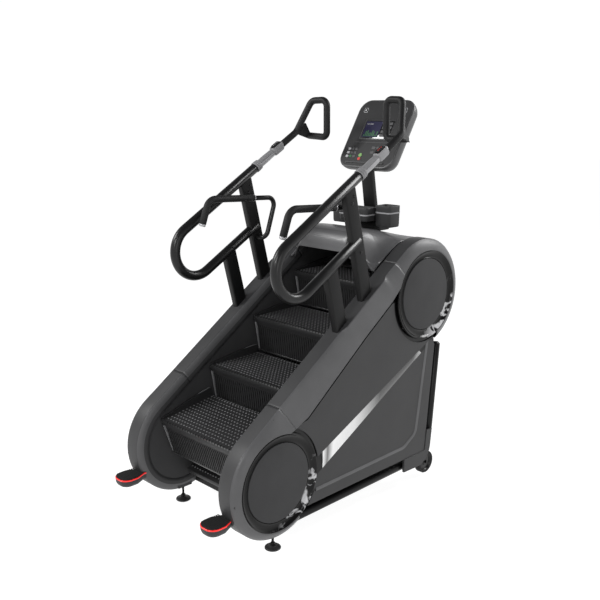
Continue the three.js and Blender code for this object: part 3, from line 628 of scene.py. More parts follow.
def bevel_x(y, z, stations):
    """Where a cover's outer bevel lies at (y, z)."""
    (oy, oz), n, w = min(stations, key=lambda s: abs((y - s[0][0]) * s[1][1] - (z - s[0][1]) * s[1][0]))
    depth = (oy - y) * n[0] + (oz - z) * n[1]
    bevelled = cover_profile(oy, n, w)[13:19]
    for (x0, d0), (x1, d1) in zip(bevelled, bevelled[1:]):
        if d0 <= depth <= d1:
            return x0 + (x1 - x0) * (depth - d0) / (d1 - d0)
    return COVER_OUT


def screws(mat, side, name):
    """Small socket screws (y, z, radius) sunk in the outer bevel."""
    stations = cover_stations()
    spots = ((-736, 329, 7), (-500, 658, 5), (-451, 691, 5), (-164, 888, 5), (272, 1174, 5), (595, 1326, 5))
    parts = []
    for y, z, r in spots:
        near = [s for s in stations if math.dist(s[0], (y, z)) < 70]
        x = bevel_x(y, z, near)
        profile = [(0.01, x - 0.6), (r * 0.6, x - 0.6), (r * 0.7, x + 0.9), (r, x + 0.9), (r, x - 6)]
        parts.append(lathe((y, z), profile, 16))
    piece(f"{name}_cover_screws", merge(*parts), mat["screw"], side=side)


# ------------------------------------------------------------------ side panel
def panel_outline(grow):
    """The whole side panel: its edge follows both round covers and the slanted recess."""
    gap = PANEL_GAP - grow
    inset = 22.0 - grow
    (y0, z0), (y3, z3) = RECESS[0], RECESS[3]
    low_start = math.atan2(z0 - LOW[1] - 9, y0 + 9 - LOW[0])
    low_end = math.asin((PANEL_LOW - LOW[1]) / PANEL_GAP)
    top_start = math.pi - math.atan2(z3 - TOP[1], TOP[0] - y3)
    points = arc(LOW, gap, low_end, low_start, 30)
    points += [(y + inset * 0.6, z - inset * 0.8) for y, z in RECESS[1:4]]
    points += arc(TOP, gap, top_start + math.radians(3), math.radians(292), 30)
    return points + [(664.0, 770.0), (606.0 + grow * 0.2, PANEL_LOW + 2 - grow * 0.1)]


def clip(outline, a, b, keep_left):
    """The part of an outline on one side of the line from a to b."""

    def where(p):
        value = (b[0] - a[0]) * (p[1] - a[1]) - (b[1] - a[1]) * (p[0] - a[0])
        return value if keep_left else -value

    kept = []
    for p, q in zip(outline, outline[1:] + outline[:1]):
        sp, sq = where(p), where(q)
        if sp >= 0:
            kept.append(p)
        if sp * sq < 0:
            t = sp / (sp - sq)
            kept.append((p[0] + (q[0] - p[0]) * t, p[1] + (q[1] - p[1]) * t))
    return kept


def side_panel(mat, side, name):
    outline = panel_outline(0)
    upper = prism(clip(outline, *CREASE, True), PANEL_IN, PANEL_X)
    lower = prism(clip(outline, *FACET, False), PANEL_IN, PANEL_X - 6)
    parts = (
        ("recess", prism(panel_outline(22), 398, 401.5), "base", (0.8, 2), 35),
        ("panel_upper", upper, "panel", (1.6, 2), 35),
        ("panel_lower", lower, "panel", (1.0, 2), 35),
        ("panel_border", border_shape(), "panel", (1.2, 2), 35),
        ("panel_accent", accent_shape(), "accent", None, 35),
        ("panel_crease", crease_shape(), "crease", None, 60),
    )
    node = f"{name}_side_panel"
    for label, shape, key, edge, smooth in parts:
        piece(f"{name}_{label}", shape, mat[key], node, side=side, smooth=smooth, edge=edge)


def accent_route(offset):
    """The line of the accent strip, moved outwards by an offset."""
    a, b, c, d = ACCENT
    corners = [
        (a[0] - offset * 0.3, a[1] - offset),
        (b[0] + offset * 0.5, b[1] - offset),
        (c[0] + offset, c[1] - offset * 0.4),
        (d[0] + offset, d[1]),
    ]
    return flat_fillet(corners, [70 + offset, 60 + offset], 8)


def accent_shape():
    """A thin chamfer that steps from the border down to the lower panel."""
    rows = []
    for (y0, z0), (y1, z1) in zip(accent_route(7), accent_route(-7)):
        rows.append([
            (PANEL_X - 7, y0, z0),
            (PANEL_X - 0.4, y0, z0),
            (PANEL_X - 1.2, (y0 * 2 + y1) / 3, (z0 * 2 + z1) / 3),
            (PANEL_X - 5.6, y1, z1),
            (PANEL_X - 7, y1, z1),
        ])
    return loft(rows)


def border_shape():
    """The frame below and in front of the accent strip."""
    ring = arc(LOW, PANEL_GAP, math.asin((PANEL_LOW - LOW[1]) / PANEL_GAP), math.radians(-27), 8)
    outer = [ring[0], (606, PANEL_LOW), (664, 770), (640, 800)]
    return prism(ring[::-1] + outer + accent_route(7)[::-1], PANEL_IN, PANEL_X)


def crease_shape():
    """A glossy hollow that runs from the crease down to the lower panel and thins out forwards."""
    rows = []
    for t in ramped(0, 1, 40):
        a = [CREASE[0][k] + (CREASE[1][k] - CREASE[0][k]) * t for k in (0, 1)]
        b = [FACET[0][k] + (FACET[1][k] - FACET[0][k]) * t for k in (0, 1)]
        row = []
        for u in ramped(0, 1, 12):
            x = PANEL_X - 6 * u**2.2 - 0.2
            row.append((x, a[0] + (b[0] - a[0]) * u, a[1] + (b[1] - a[1]) * u))
        rows.append(row + [(PANEL_IN + 0.5, *b), (PANEL_IN + 0.5, *a)])
    return loft(rows)


def corner_cover(mat, side, name):
    outline = [(430, 104), (540, 100)]
    outline += arc((552, 206), 106, math.radians(-82), math.radians(-6), 12)
    outline += [(668, 285), (672, 290), (621, 290), (607.5, PANEL_LOW), (430, PANEL_LOW)]
    node = f"{name}_corner_cover"
    shape = prism(outline, 398, 411.5)
    piece(f"{name}_corner", shape, mat["panel"], node, side=side, edge=(4, 4))


# ------------------------------------------------------------------ handrails and grips
def rail_at(distance):
    """A point on the handrail's upper run, measured down from its upper bend."""
    y, z = RAIL_REFERENCE
    return (RAIL_X, y - distance * math.cos(RAIL_SLOPE), z - distance * math.sin(RAIL_SLOPE))


def top_edge(y):
    """Height of a cover's straight top edge."""
    foot_y = LOW[0] + LOW_R * math.cos(UPRIGHT)
    foot_z = LOW[1] + LOW_R * math.sin(UPRIGHT)
    return foot_z + (y - foot_y) * math.tan(INCLINE + TAPER)


def post_shape(post, z1, grow=0.0, z0=None):
    """A leaning post with rounded corners, from below the cover's top edge up to z1."""
    start = top_edge(post[0]) - 60 if z0 is None else z0
    half_x, half_y = 19 + grow, 39 + grow
    rings = []
    for z in (start, z1):
        y = post[0] - (z - post[1]) * POST_LEAN
        outline = rounded_rect(RAIL_X - half_x, RAIL_X + half_x, -half_y, half_y, 8, 4)
        rings.append([(px, y + py, z) for px, py in outline])
    return loft(rings)


def handrail(mat, side, name):
    across = RAIL_SLOPE + math.pi / 2
    bend = arc(LOOP_CENTRE, LOOP_R, across, across + math.pi, 40)
    last = bend[-1]
    lower = (last[0] + 395 * math.cos(RAIL_SLOPE), last[1] + 395 * math.sin(RAIL_SLOPE))
    route = [rail_at(352)] + [(RAIL_X, y, z) for y, z in bend + [lower]]
    parts = (
        ("rail_tube", tube(route, RAIL_R, 40), "tube", 50),
        ("post_tall", post_shape(TALL_POST, 1640), "post", 35),
        ("post_short", post_shape(SHORT_POST, 1275), "post", 35),
        ("inner_tube", inner_tube(), "tube", 50),
        ("post_cap", post_shape(TALL_POST, 1643, -6, 1630), "rubber", 35),
    )
    for label, shape, key, smooth in parts:
        part = f"{name}_{label}"
        piece(part, shape, mat[key], f"{name}_handrail", side=side, smooth=smooth)
    for label, post in (("tall", TALL_POST), ("short", SHORT_POST)):
        part = f"{name}_collar_{label}"
        piece(part, collar_shape(post), mat["cover_top"], side=side, edge=(1.5, 2))
    bolts = []
    for y, z in ((35, 1600), (22, 1567), (88, 1332)):
        for out in (1, -1):
            profile = [(0.01, 24), (5, 24), (7.5, 20), (7.5, 17)]
            bolts.append(lathe((y, z), [(r, RAIL_X + out * reach) for r, reach in profile], 20))
    piece(f"{name}_post_bolts", merge(*bolts), mat["screw"], side=side)


def collar_shape(post):
    """The trim frame a post passes through, lying on the cover's top face."""
    slope = math.tan(INCLINE + TAPER)
    inner = rounded_rect(RAIL_X - 21.5, RAIL_X + 21.5, -42, 42, 9, 4)
    outer = rounded_rect(RAIL_X - 28, RAIL_X + 28, -50, 50, 13, 4)
    rings = []
    for outline, lift in ((outer, -3), (outer, 2.2), (inner, 2.8), (inner, -3)):
        base = top_edge(post[0]) + lift
        rings.append([(x, post[0] + y, base + y * slope) for x, y in outline])
    return loft(rings, cap=False, loop=True)


def grip_run(y):
    """A point on the inner grip's upper run."""
    return (GRIP_X, y, 1559 - (y + 287) * 0.055)


def inner_tube():
    corners = [grip_run(9.4), grip_run(160), (GRIP_X, 88, 1318), (352, 76, 1330)]
    return tube(fillet(corners, 40, 12), 12.5, 24)


def inner_grip(mat, side, name):
    corners = [(GRIP_X, -331, 1441), grip_run(-287), grip_run(5)]
    tip = Vector((GRIP_X, -335, 1430))
    aim = (Vector(corners[0]) - tip).normalized()
    parts = (
        ("foam", tube(fillet(corners, 55, 14), 17.5, 32), "foam"),
        ("foam_cap", tube([tip, tip + aim * 13], 17, 28, 4), "chrome"),
        ("foam_ring", tube([grip_run(2), grip_run(9)], 18, 28, 1.5), "chrome"),
    )
    for label, shape, key in parts:
        part = f"{name}_{label}"
        piece(part, shape, mat[key], f"{name}_inner_grip", side=side, smooth=50)


def sleeve(first, last):
    """Part of a thin, slightly swollen sleeve round the rail, between two headings."""
    start, end = Vector(rail_at(346)), Vector(rail_at(208.4))
    slope = (end - start).normalized()
    up = Vector((0, -slope.z, slope.y))
    rings = []
    for t in ramped(0, 1, 14):
        centre = start + (end - start) * t
        outer = 20 + 1.6 * math.sin(math.pi * t)
        row = []
        for radius, headings in ((outer, ramped(first, last, 24)), (outer - 2.5, ramped(last, first, 24))):
            row += [centre + (Vector((1, 0, 0)) * math.cos(a) + up * math.sin(a)) * radius for a in headings]
        rings.append([tuple(p) for p in row])
    return loft(rings)


def pulse_grip(mat, side, name):
    """A split metal sleeve on a dark core, with a ringed collar at its lower end."""
    rings = [rail_at(d) for d in (351.6, 347, 346, 340, 339, 333, 332, 326, 325, 318, 316)]
    radii = [28, 29, 26.5, 26.5, 28.5, 28.5, 26, 26, 27.5, 26.5, 22]
    parts = (
        ("pulse_top", sleeve(math.radians(26), math.radians(154)), "silver_plastic", 40),
        ("pulse_bottom", sleeve(math.radians(158), math.radians(382)), "silver", 40),
        ("pulse_core", tube([rail_at(346), rail_at(208.4)], 17.6, 28), "dark", 50),
        ("rail_collar", tube(rings, radii, 40, 1), "silver_plastic", 28),
    )
    for label, shape, key, smooth in parts:
        part = f"{name}_{label}"
        piece(part, shape, mat[key], f"{name}_pulse_grip", side=side, smooth=smooth)


def on_rail(shape):
    """Moves a shape drawn round the origin, its length along y, to the switch's place on the rail."""
    verts, faces = shape
    turn = Matrix.Rotation(RAIL_SLOPE, 3, "X")
    base = Vector(rail_at(SWITCH_AT))
    return [tuple(base + turn @ Vector(v)) for v in verts], faces


def switch(mat, side, name):
    """A housing with a well, and a button in it that stops short of the well at the end of its travel."""
    node = f"{name}_switch_housing"
    levels = ((-21, 8), (-15, 3), (-4, 0), (9, 0), (18, 2), (22.5, 6))
    body = slab(rounded_rect(-20, 20, -43, 42, 12, 5), levels)
    well = slab(rounded_rect(-16, 16, -33, 33, 8, 4), ((20.5, 0), (24.2, 1.2)))
    silver = mat["silver_plastic"]
    piece(f"{name}_switch_body", on_rail(body), silver, node, side=side, smooth=40)
    piece(f"{name}_switch_plate", on_rail(well), mat["bezel"], node, side=side)
    button = f"{name}_switch_button"
    key, slot = ("button_red", "button_red") if side > 0 else ("icon", "button_panel")
    cap = slab(rounded_rect(-12, 12, -26, 26, 5, 4), ((26, 0), (28.4, 0.2), (29.6, 1.4)))
    piece(button + "_cap", on_rail(cap), mat["rubber"], button, body=button, side=side)
    marks = [slab([(-5, y - 3), (5, y - 3), (0, y + 4)], ((29.2, 0), (30.0, 0.2))) for y in (-13, 0, 13)]
    piece(button + "_marks", on_rail(merge(*marks)), mat[key], body=button, side=side)


def upper_grip(mat, side, name):
    corners = [rail_at(121.6), rail_at(0)]
    corners += [(310, 456, 2032), (205, 464, 2036), (205, 466, 1840), (338, 466, 1846)]
    loop = tube(fillet(corners, [46, 34, 34, 30], 12), 18, 32)
    web = [(357, 381, 1858), (347, 474, 1828), (331, 472, 1850), (338, 436, 1915), (352, 396, 1892)]
    gusset = loft([[(x + shift, y, z) for x, y, z in web] for shift in (-5, 5)])
    node = f"{name}_upper_grip"
    piece(f"{name}_grip_loop", loop, mat["grip"], node, side=side, smooth=50)
    piece(f"{name}_grip_web", gusset, mat["grip"], node, side=side, edge=(3, 3))


# ------------------------------------------------------------------ steps
STUD_COLUMNS = 26
STUD_ROWS = 13
STUD_REACH = 262.0
LINK_X = (274.0, 297.0)


def stud_field(y0, y1):
    """Rows of small raised dots on the plane z = 0."""
    circle = [(math.cos(k * math.pi / 4), 0.8 * math.sin(k * math.pi / 4)) for k in range(8)]
    levels = ((5.4, -0.5), (5.2, 0.9), (3.6, 2.0))
    studs = []
    for y in ramped(y0, y1, STUD_ROWS - 1):
        for x in ramped(-STUD_REACH, STUD_REACH, STUD_COLUMNS - 1):
            studs.append(loft([[(x + r * c, y + r * s, z) for c, s in circle] for r, z in levels]))
    return merge(*studs)


def link_pin(side, centre):
    """The pin that joins a step to its chain."""
    x0, x1 = ordered(side, *LINK_X)
    return lathe(centre, [(0.01, x0), (8, x0), (8, x1), (0.01, x1)], 20)


def step_mesh(mat):
    """The one mesh that the open steps share: tread, studs, ribbed riser, side lips with light strips that
    paint highlights on their edges, and chain brackets.
    """
    parts = {key: [] for key in ("step", "stud", "riser", "lip", "lip_painted_highlight")}
    tread = [(1.5, 0), (-1.5, -1.5), (-3.8, -5), (-4, -8), (-2, -26), (8, -40), (34, -40), (34, -26)]
    parts["step"].append(prism(tread + [(290, -16), (319, -6), (319, 0)], -279, 279))
    riser = [(-2, -26), (3, -36), (11, -60), (16, -100), (21, -150), (25, -190), (33, -190), (33, -30)]
    parts["riser"].append(prism(riser, -272, 272))
    rib = [(6, -45), (11.5, -70), (16, -110), (20.5, -150), (24, -186)]
    rib = [(y - 2.6, z) for y, z in rib] + [(y + 3, z) for y, z in rib[::-1]]
    for x in range(-264, 265, 16):
        parts["riser"].append(prism(rib, x - 3, x + 3))
    parts["stud"].append(stud_field(24, 300))
    for x in ramped(-STUD_REACH, STUD_REACH, 26):
        parts["lip"].append(box(x - 6.5, x + 6.5, -5.4, 6, -7, 1.6))
        parts["stud"].append(box(x - 2.0, x + 2.0, 304, 316, -1, 1.6))
    lip = [(-4, -26), (-5, -4), (0, 3), (30, 8), (90, 17), (170, 29), (250, 38), (306, 42)]
    lip += [(314, 40), (318, 30), (318, -8), (290, -20), (34, -34)]
    # strip and glint are light pieces painted as highlights: strip down the riser's side edge, glint along
    # the lip's top edge
    strip = [(-1, -34), (20, -34), (31, -186), (26, -188), (22, -160)]
    glint = [(238, 38), (250, 39.5), (306, 43.6), (314, 41.6), (314, 36), (300, 38)]
    drop = NOSING_HEIGHT - PITCH_R
    pin = (drop * math.sin(INCLINE), -drop * math.cos(INCLINE))
    bracket = [(20, -40), (104, -28), (pin[0] + 16, pin[1] - 14), (pin[0] - 12, pin[1] - 16)]
    for side in (1, -1):
        parts["lip"].append(prism(lip, *ordered(side, 279.5, STEP_HALF)))
        parts["lip_painted_highlight"].append(prism(strip, *ordered(side, 272.5, 284)))
        parts["lip_painted_highlight"].append(prism(glint, *ordered(side, 281, STEP_HALF + 0.6)))
        parts["step"].append(link_pin(side, pin))
        parts["step"].append(prism(bracket, *ordered(side, 270, 277)))
    parts["lip"].append(tube([(-283, 28.5, -191), (283, 28.5, -191)], 6.5, 16, 3))
    return shared_mesh("step_open", mat, parts)


def folded_mesh(mat):
    """A step on the way back: its riser folded flat under its tread. y runs up the incline, -z outwards."""
    half = STEP_HALF - 8
    studs, faces = stud_field(-60, 216)
    tread = [(-89, -20), (-85, -12), (230, -12), (230, -24), (-58, -38), (-58, -42), (-80, -50), (-89, -42)]
    riser = [(-82, -42), (108, -42), (108, -50), (-80, -50)]
    arm = [(-20, -14), (-14, 9), (14, 9), (20, -14)]
    parts = {
        "step": [prism(tread, -half, half)],
        "stud": [([(x, y, z - 12) for x, y, z in studs], faces)],
        "riser": [prism(riser, -half + 6, half - 6)],
    }
    for side in (1, -1):
        parts["step"].append(prism(arm, *ordered(side, 270, 278)))
        parts["step"].append(link_pin(side, (0, 0)))
    return shared_mesh("step_folded", mat, parts)


def shared_mesh(name, mat, parts):
    """One mesh from shapes sorted by material."""
    mesh = bpy.data.meshes.new(name)
    verts, faces, owners = [], [], []
    for index, (key, shapes) in enumerate(parts.items()):
        new_verts, new_faces = merge(*shapes)
        base = len(verts)
        verts += [(x * MM, y * MM, z * MM) for x, y, z in new_verts]
        faces += [tuple(i + base for i in face) for face in new_faces]
        owners += [index] * len(new_faces)
        mesh.materials.append(mat[key])
    mesh.from_pydata(verts, [], faces)
    for face, owner in zip(mesh.polygons, owners):
        face.material_index = owner
    finish_mesh(mesh, 30, weld=False)
    return mesh


def along(distance, height):
    """A move to a point along the incline from the lower shaft, and square to it."""
    c, s = math.cos(INCLINE), math.sin(INCLINE)
    y = LOW[0] + distance * c - height * s
    z = LOW[1] + distance * s + height * c
    return Matrix.Translation((0, y * MM, z * MM))


def about(centre, angle):
    """A turn about a shaft."""
    base = Vector((0, centre[0] * MM, centre[1] * MM))
    return Matrix.Translation(base) @ Matrix.Rotation(angle, 4, "X") @ Matrix.Translation(-base)


def step_matrix(travel):
    """Where the loop carries a step: up the front, round the top, back underneath, round the bottom."""
    wrap = math.pi * PITCH_R
    if travel < 0:
        return about(LOW, -travel / PITCH_R) @ along(0, NOSING_HEIGHT)
    if travel <= SPAN:
        return along(travel, NOSING_HEIGHT)
    if travel <= SPAN + wrap:
        return about(TOP, -(travel - SPAN) / PITCH_R) @ along(SPAN, NOSING_HEIGHT)
    return along(2 * SPAN + wrap - travel, -PITCH_R) @ Matrix.Rotation(INCLINE, 4, "X")


def steps(mat):
    open_mesh, folded = step_mesh(mat), folded_mesh(mat)
    for number in range(1, STEP_COUNT + 1):
        travel = FIRST_STEP + (number - 1) * STEP_PITCH
        returning = travel > SPAN + math.pi * PITCH_R
        obj = bpy.data.objects.new(f"tread_{number}", folded if returning else open_mesh)
        bpy.context.scene.collection.objects.link(obj)
        obj.matrix_world = step_matrix(travel)
        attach(obj, f"step_{number}")
        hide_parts(f"step_{number}")


# ------------------------------------------------------------------ pedals, feet, wheels
def pedal_outline(grow):
    """The pad's plan: a narrow neck at the cover that widens to a rounded end."""
    neck, half, rear, r = PEDAL_X - 34 - grow, PEDAL_X - 56 - grow, -853 - grow, 46 + grow
    left = [(neck, -712)] + flat_fillet([(neck, -726), (half, -772), (half, -790)], 20, 5)
    left += arc((half + r, rear + r), r, math.pi, 1.5 * math.pi, 10)
    return left + [(2 * PEDAL_X - x, y) for x, y in reversed(left)]


def pedal(mat, side, name):
    parts = (
        ("base", ((209, -16), (213, -9), (224, -3), (236, -1), (243, -0.6)), "pedal"),
        ("trim", ((243, -0.8), (244, 0), (248.5, 0), (249.5, -1)), "red"),
        ("top", ((249, -4), (251, -3.2), (253, -4), (254, -7)), "rubber"),
    )
    for label, levels, key in parts:
        shape = loft([[(x, y, z) for x, y in pedal_outline(grow)] for z, grow in levels])
        part = f"{name}_pedal_{label}"
        piece(part, shape, mat[key], f"{name}_pedal", side=side, smooth=40)
    ribs = []
    for i in range(11):
        y = -838 + i * 10
        reach = 34 if i == 0 else 46
        ribs.append(box(PEDAL_X - reach, PEDAL_X + reach, y - 2.2, y + 2.2, 253, 255.2))
    piece(f"{name}_pedal_ribs", merge(*ribs), mat["rubber"], side=side)


def feet(mat):
    """A round pad, a threaded stem and a lock nut for each levelling foot."""
    pad = [(0.01, 0), (35, 0), (38.5, 2.5), (38.5, 6.5), (36, 9.4), (20, 11.5), (14, 16), (0.01, 16)]
    thread = [point for i in range(50) for point in ((5.2, 16 + i * 3.1), (6, 17.5 + i * 3.1))]
    stem = [(0.01, 14)] + thread + [(0.01, 171)]
    nut = [(0.01, 20), (11, 20), (12, 21.5), (12, 29), (11, 30.5), (0.01, 30.5)]
    for name, x, y in FEET:
        body = f"{name}_foot"
        parts = (("pad", pad, 48, "pedal", 35), ("stem", stem, 16, "post", 35), ("nut", nut, 6, "post", 20))
        for label, profile, sides, key, smooth in parts:
            shape = turned(x, y, profile, sides)
            piece(f"{body}_{label}", shape, mat[key], body, body=body, smooth=smooth)


def wheel(mat, side, name):
    body = f"{name}_wheel"
    tyre = [(46, 351), (60, 351), (62, 354), (62, 382), (60, 385), (46, 385), (46, 351)]
    hub = [(9, 353), (18, 353), (20, 357), (40, 359), (46, 352), (46, 384), (40, 377), (20, 379), (18, 383)]
    hub += [(9, 383), (9, 353)]
    for label, profile, key in (("tyre", tyre, "rubber"), ("hub", hub, "tube")):
        shape = lathe(WHEEL, profile, 56)
        node = f"{name}_transport_wheel"
        piece(f"{body}_{label}", shape, mat[key], node, body=body, side=side)


# ------------------------------------------------------------------ hood, mast, trays
def hood_outline():
    """The hood's section, from its low front round the top to its rear lip."""
    points = arc(TOP, TOP_R, -0.9, 1.30, 36)
    crown = [(560, 1345), (480, 1374), (330, 1398), (262, 1380), (205, 1290)]
    return points + flat_fillet(crown, [150, 260, 60], 8)[1:]


def hood_shell(mat):
    """The shell over the top of the loop. Its rear lip bends forward where it meets the covers."""
    outline = hood_outline()
    lip_start = len(outline) - 10
    rings = []
    for x in ramped(-HOOD_HALF, HOOD_HALF, 40):
        edge = min(abs(x) / HOOD_HALF, 1)
        drop = 4 * max(0.0, (edge - 0.93) / 0.07) ** 2
        ring = []
        for j, (y, z) in enumerate(outline):
            n = Vector((y - 460, z - 1058)).normalized()
            t = max(0.0, (j - lip_start) / 9)
            back = t * t * lip_retreat(x)
            ring.append(settle((x, y - n.x * drop + back, z - n.y * drop - back * 0.3)))
        rings.append(ring)
    shape = loft(rings, closed=False, cap=False)
    thicken(piece("hood_shell", shape, mat["hood"], "hood", smooth=40), 4)


def cover_top(y):
    """Height of a side cover's top at y, over its straight edge and its upper round end."""
    if y < TOP[0] - TOP_R * math.sin(INCLINE):
        return top_edge(y)
    return TOP[1] + math.sqrt(max(TOP_R**2 - (y - TOP[0]) ** 2, 0))


def settle(point):
    """Lowers the hood's crown towards its sides until it meets the covers."""
    x, y, z = point
    if y > TOP[0] or z < TOP[1]:
        return point
    t = min(max((abs(x) / HOOD_HALF - 0.5) / 0.5, 0), 1)
    t = t * t * (3 - 2 * t)
    return (x, y, z + (min(cover_top(y) - 3, z) - z) * t)


def lip_retreat(x):
    """How far forward the hood's rear lip lies at x: it bends round to meet the covers."""
    t = min(max((abs(x) - 130) / 167, 0), 1)
    return 118 * t * t


def mast_y(z):
    return 622 - (z - 1350) * 0.17


def mast(mat):
    sections = (
        (1380, 78, 46), (1384, 76, 44), (1398, 56, 33), (1416, 44, 25), (1440, 39, 20), (1560, 38, 19.5),
        (1690, 38, 19.5),
    )
    rings = []
    for z, wide, deep in sections:
        outline = rounded_rect(-wide, wide, mast_y(z) - deep, mast_y(z) + deep, 12, 5)
        rings.append([(x, y, z) for x, y in outline])
    piece("mast_post", loft(rings), mat["post"], "console_mast", smooth=40)
    outline = rounded_rect(-84, 84, mast_y(1375) - 54, mast_y(1375) + 54, 24, 5)
    boot = slab(outline, ((1352, 0), (1380, 1), (1386, 5)))
    piece("mast_boot", boot, mat["rubber"], smooth=40)


def bin_shape(x0, x1, y0, y1, z0, z1, radius):
    """An open bin with a rounded lip and drafted walls."""
    outside = ((z0, 7), (z0 + 1.5, 4), (z0 + 12, 2), (z1 - 12, 0), (z1 - 2, 0), (z1, 1), (z1, 4), (z1 - 2, 5))
    levels = [(z, inset, radius - inset * 0.5) for z, inset in outside]
    levels += [(z0 + 12, 8, radius - 5), (z0 + 6, 12, radius - 5)]
    rings = []
    for z, inset, r in levels:
        outline = rounded_rect(x0 + inset, x1 - inset, y0 + inset, y1 - inset, r, 5)
        rings.append([(x, y, z) for x, y in outline])
    return loft(rings)


def stripe_shape(x0, x1, y0, y1, z0, z1, radius):
    """A thin band just outside a bin's wall."""
    rings = []
    for z, grow in ((z0, -1), (z0, 0.8), (z1, 0.8), (z1, -1)):
        outline = rounded_rect(x0 - grow, x1 + grow, y0 - grow, y1 + grow, radius + grow, 5)
        rings.append([(x, y, z) for x, y in outline])
    return loft(rings, cap=False, loop=True)


def trays(mat):
    bins = [("centre", -98, 98, 446, 540, 1412, 1482)]
    for name, side in SIDES:
        bins.append((name, *ordered(side, 102, 204), 508, 606, 1384, 1496))
    for name, x0, x1, y0, y1, z0, z1 in bins:
        parts = (
            (f"tray_{name}", bin_shape(x0, x1, y0, y1, z0, z1, 18), "bin"),
            (f"tray_{name}_stripe", stripe_shape(x0, x1, y0, y1, z1 - 40, z1 - 33, 18), "stripe"),
        )
        for part, shape, key in parts:
            piece(part, shape, mat[key], "accessory_tray", smooth=40)
    arms = [box(-30, 30, 536, mast_y(1440) - 19, 1414, 1450)]
    arms += [box(*ordered(side, 92, 108), 520, 538, 1414, 1468) for side in (1, -1)]
    piece("tray_bracket", merge(*arms), mat["post"], "accessory_tray", edge=(2, 2))


# ------------------------------------------------------------------ console
def on_console(shape):
    """Moves a shape drawn as (u across, v up the face, w out of it) onto the tilted console."""
    c, s = math.cos(CONSOLE_TILT), math.sin(CONSOLE_TILT)
    y, z = CONSOLE_CENTRE
    verts, faces = shape
    return [(u, y + v * s - w * c, z + v * c + w * s) for u, v, w in verts], faces


def face_slab(u0, u1, v0, v1, radius, levels):
    """A flat piece on the console from (w, inset) levels."""
    rings = []
    for w, inset in levels:
        corner = max(radius - inset, 0.5)
        outline = rounded_rect(u0 + inset, u1 - inset, v0 + inset, v1 - inset, corner, 8)
        rings.append([(u, v, w) for u, v in outline])
    return on_console(loft(rings))


def face_square(u, v, half, radius, low, high):
    return face_slab(u - half, u + half, v - half, v + half, radius, ((low, 0), (high, 0.2)))


def console(mat):
    levels = ((-82, 46), (-78, 34), (-64, 16), (-46, 6), (-28, 1), (-16, 0), (-6, 0), (-2, 1.5), (-1, 4))
    shell = face_slab(-187, 187, -206, 206, 70, levels)
    piece("console_shell", shell, mat["console_shell"], "console_housing", smooth=50)
    items = (
        ("face", face_slab(-179, 179, -198, 198, 64, ((-9, 0), (-1.2, 0), (0, 1.2))), "console_face"),
        ("screen_frame", face_slab(-104, 104, -38, 82, 7, ((-2, 0), (0.8, 0), (1.4, 1))), "console_shell"),
        ("screen", face_slab(-98, 98, -32, 76, 4, ((-1, 0), (1.6, 0), (1.9, 0.5))), "bezel"),
        ("ledge", face_slab(-130, 130, -182, -174, 3.5, ((-2, 0), (5, 0), (7, 1.5))), "console_shell"),
        ("light_strip", face_slab(-120, 120, -57, -54.5, 1, ((-1, 0), (0.9, 0.2))), "icon_dim"),
    )
    for name, shape, key in items:
        piece(f"console_{name}", shape, mat[key], "console_face", smooth=40)
    graphics(mat)
    for body, v, r, key in (("start_key", -134, 11, "button_green"), ("stop_key", -156, 9, "button_red")):
        rings = []
        for w, inset in ((-2, 0), (2.2, 0), (3, 0.8)):
            circle = arc((-48, v), r - inset, 0, 2 * math.pi, 32)[:-1]
            rings.append([(a, b, w) for a, b in circle])
        piece(f"{body}_cap", on_console(loft(rings)), mat[key], body, body=body, smooth=40)


def graphics(mat):
    """Plain generic shapes: a bar chart and tiles on the screen, key blocks and corner marks."""
    marks = {key: [] for key in ("icon", "icon_dim", "console_face", "blue", "green")}
    for u in (-134, 134):
        marks["icon"].append(face_square(u, 140, 14, 6, -1, 0.8))
        marks["console_face"].append(face_square(u, 140, 12, 5, 0.4, 1.2))
        marks["icon"].append(face_square(u, 140, 5, 3, 0.8, 1.6))
    marks["blue"].append(face_slab(-92, 20, -26, 70, 2, ((1, 0), (2.2, 0.2))))
    for i in range(9):
        u = -84 + i * 11
        height = 10 + 26 * abs(math.sin(i * 0.9))
        marks["green"].append(face_slab(u, u + 7, -20, -20 + height, 0.6, ((2, 0), (2.6, 0.1))))
    for v in (50, 26, 2, -22):
        marks["icon_dim"].append(face_slab(28, 90, v, v + 16, 1.5, ((1, 0), (2.2, 0.2))))
    marks["icon"].append(face_slab(-84, -40, 52, 56, 1, ((2, 0), (2.6, 0.1))))
    for row in range(3):
        for column in range(3):
            u = -148 + column * 24
            v = -92 - row * 22
            key = "green" if (row, column) == (2, 1) else "icon" if column == 0 else "icon_dim"
            marks[key].append(face_slab(u, u + 18, v - 14, v, 3, ((-1, 0), (1.8, 0.3))))
    for v in (-96, -124):
        for u in (12, 44, 76, 108):
            marks["icon_dim"].append(face_slab(u, u + 24, v, v + 16, 3, ((-1, 0), (1.6, 0.3))))
    for name, (key, shapes) in zip(("white", "dim", "dark", "blue", "green"), marks.items()):
        piece(f"console_marks_{name}", merge(*shapes), mat[key], smooth=40)


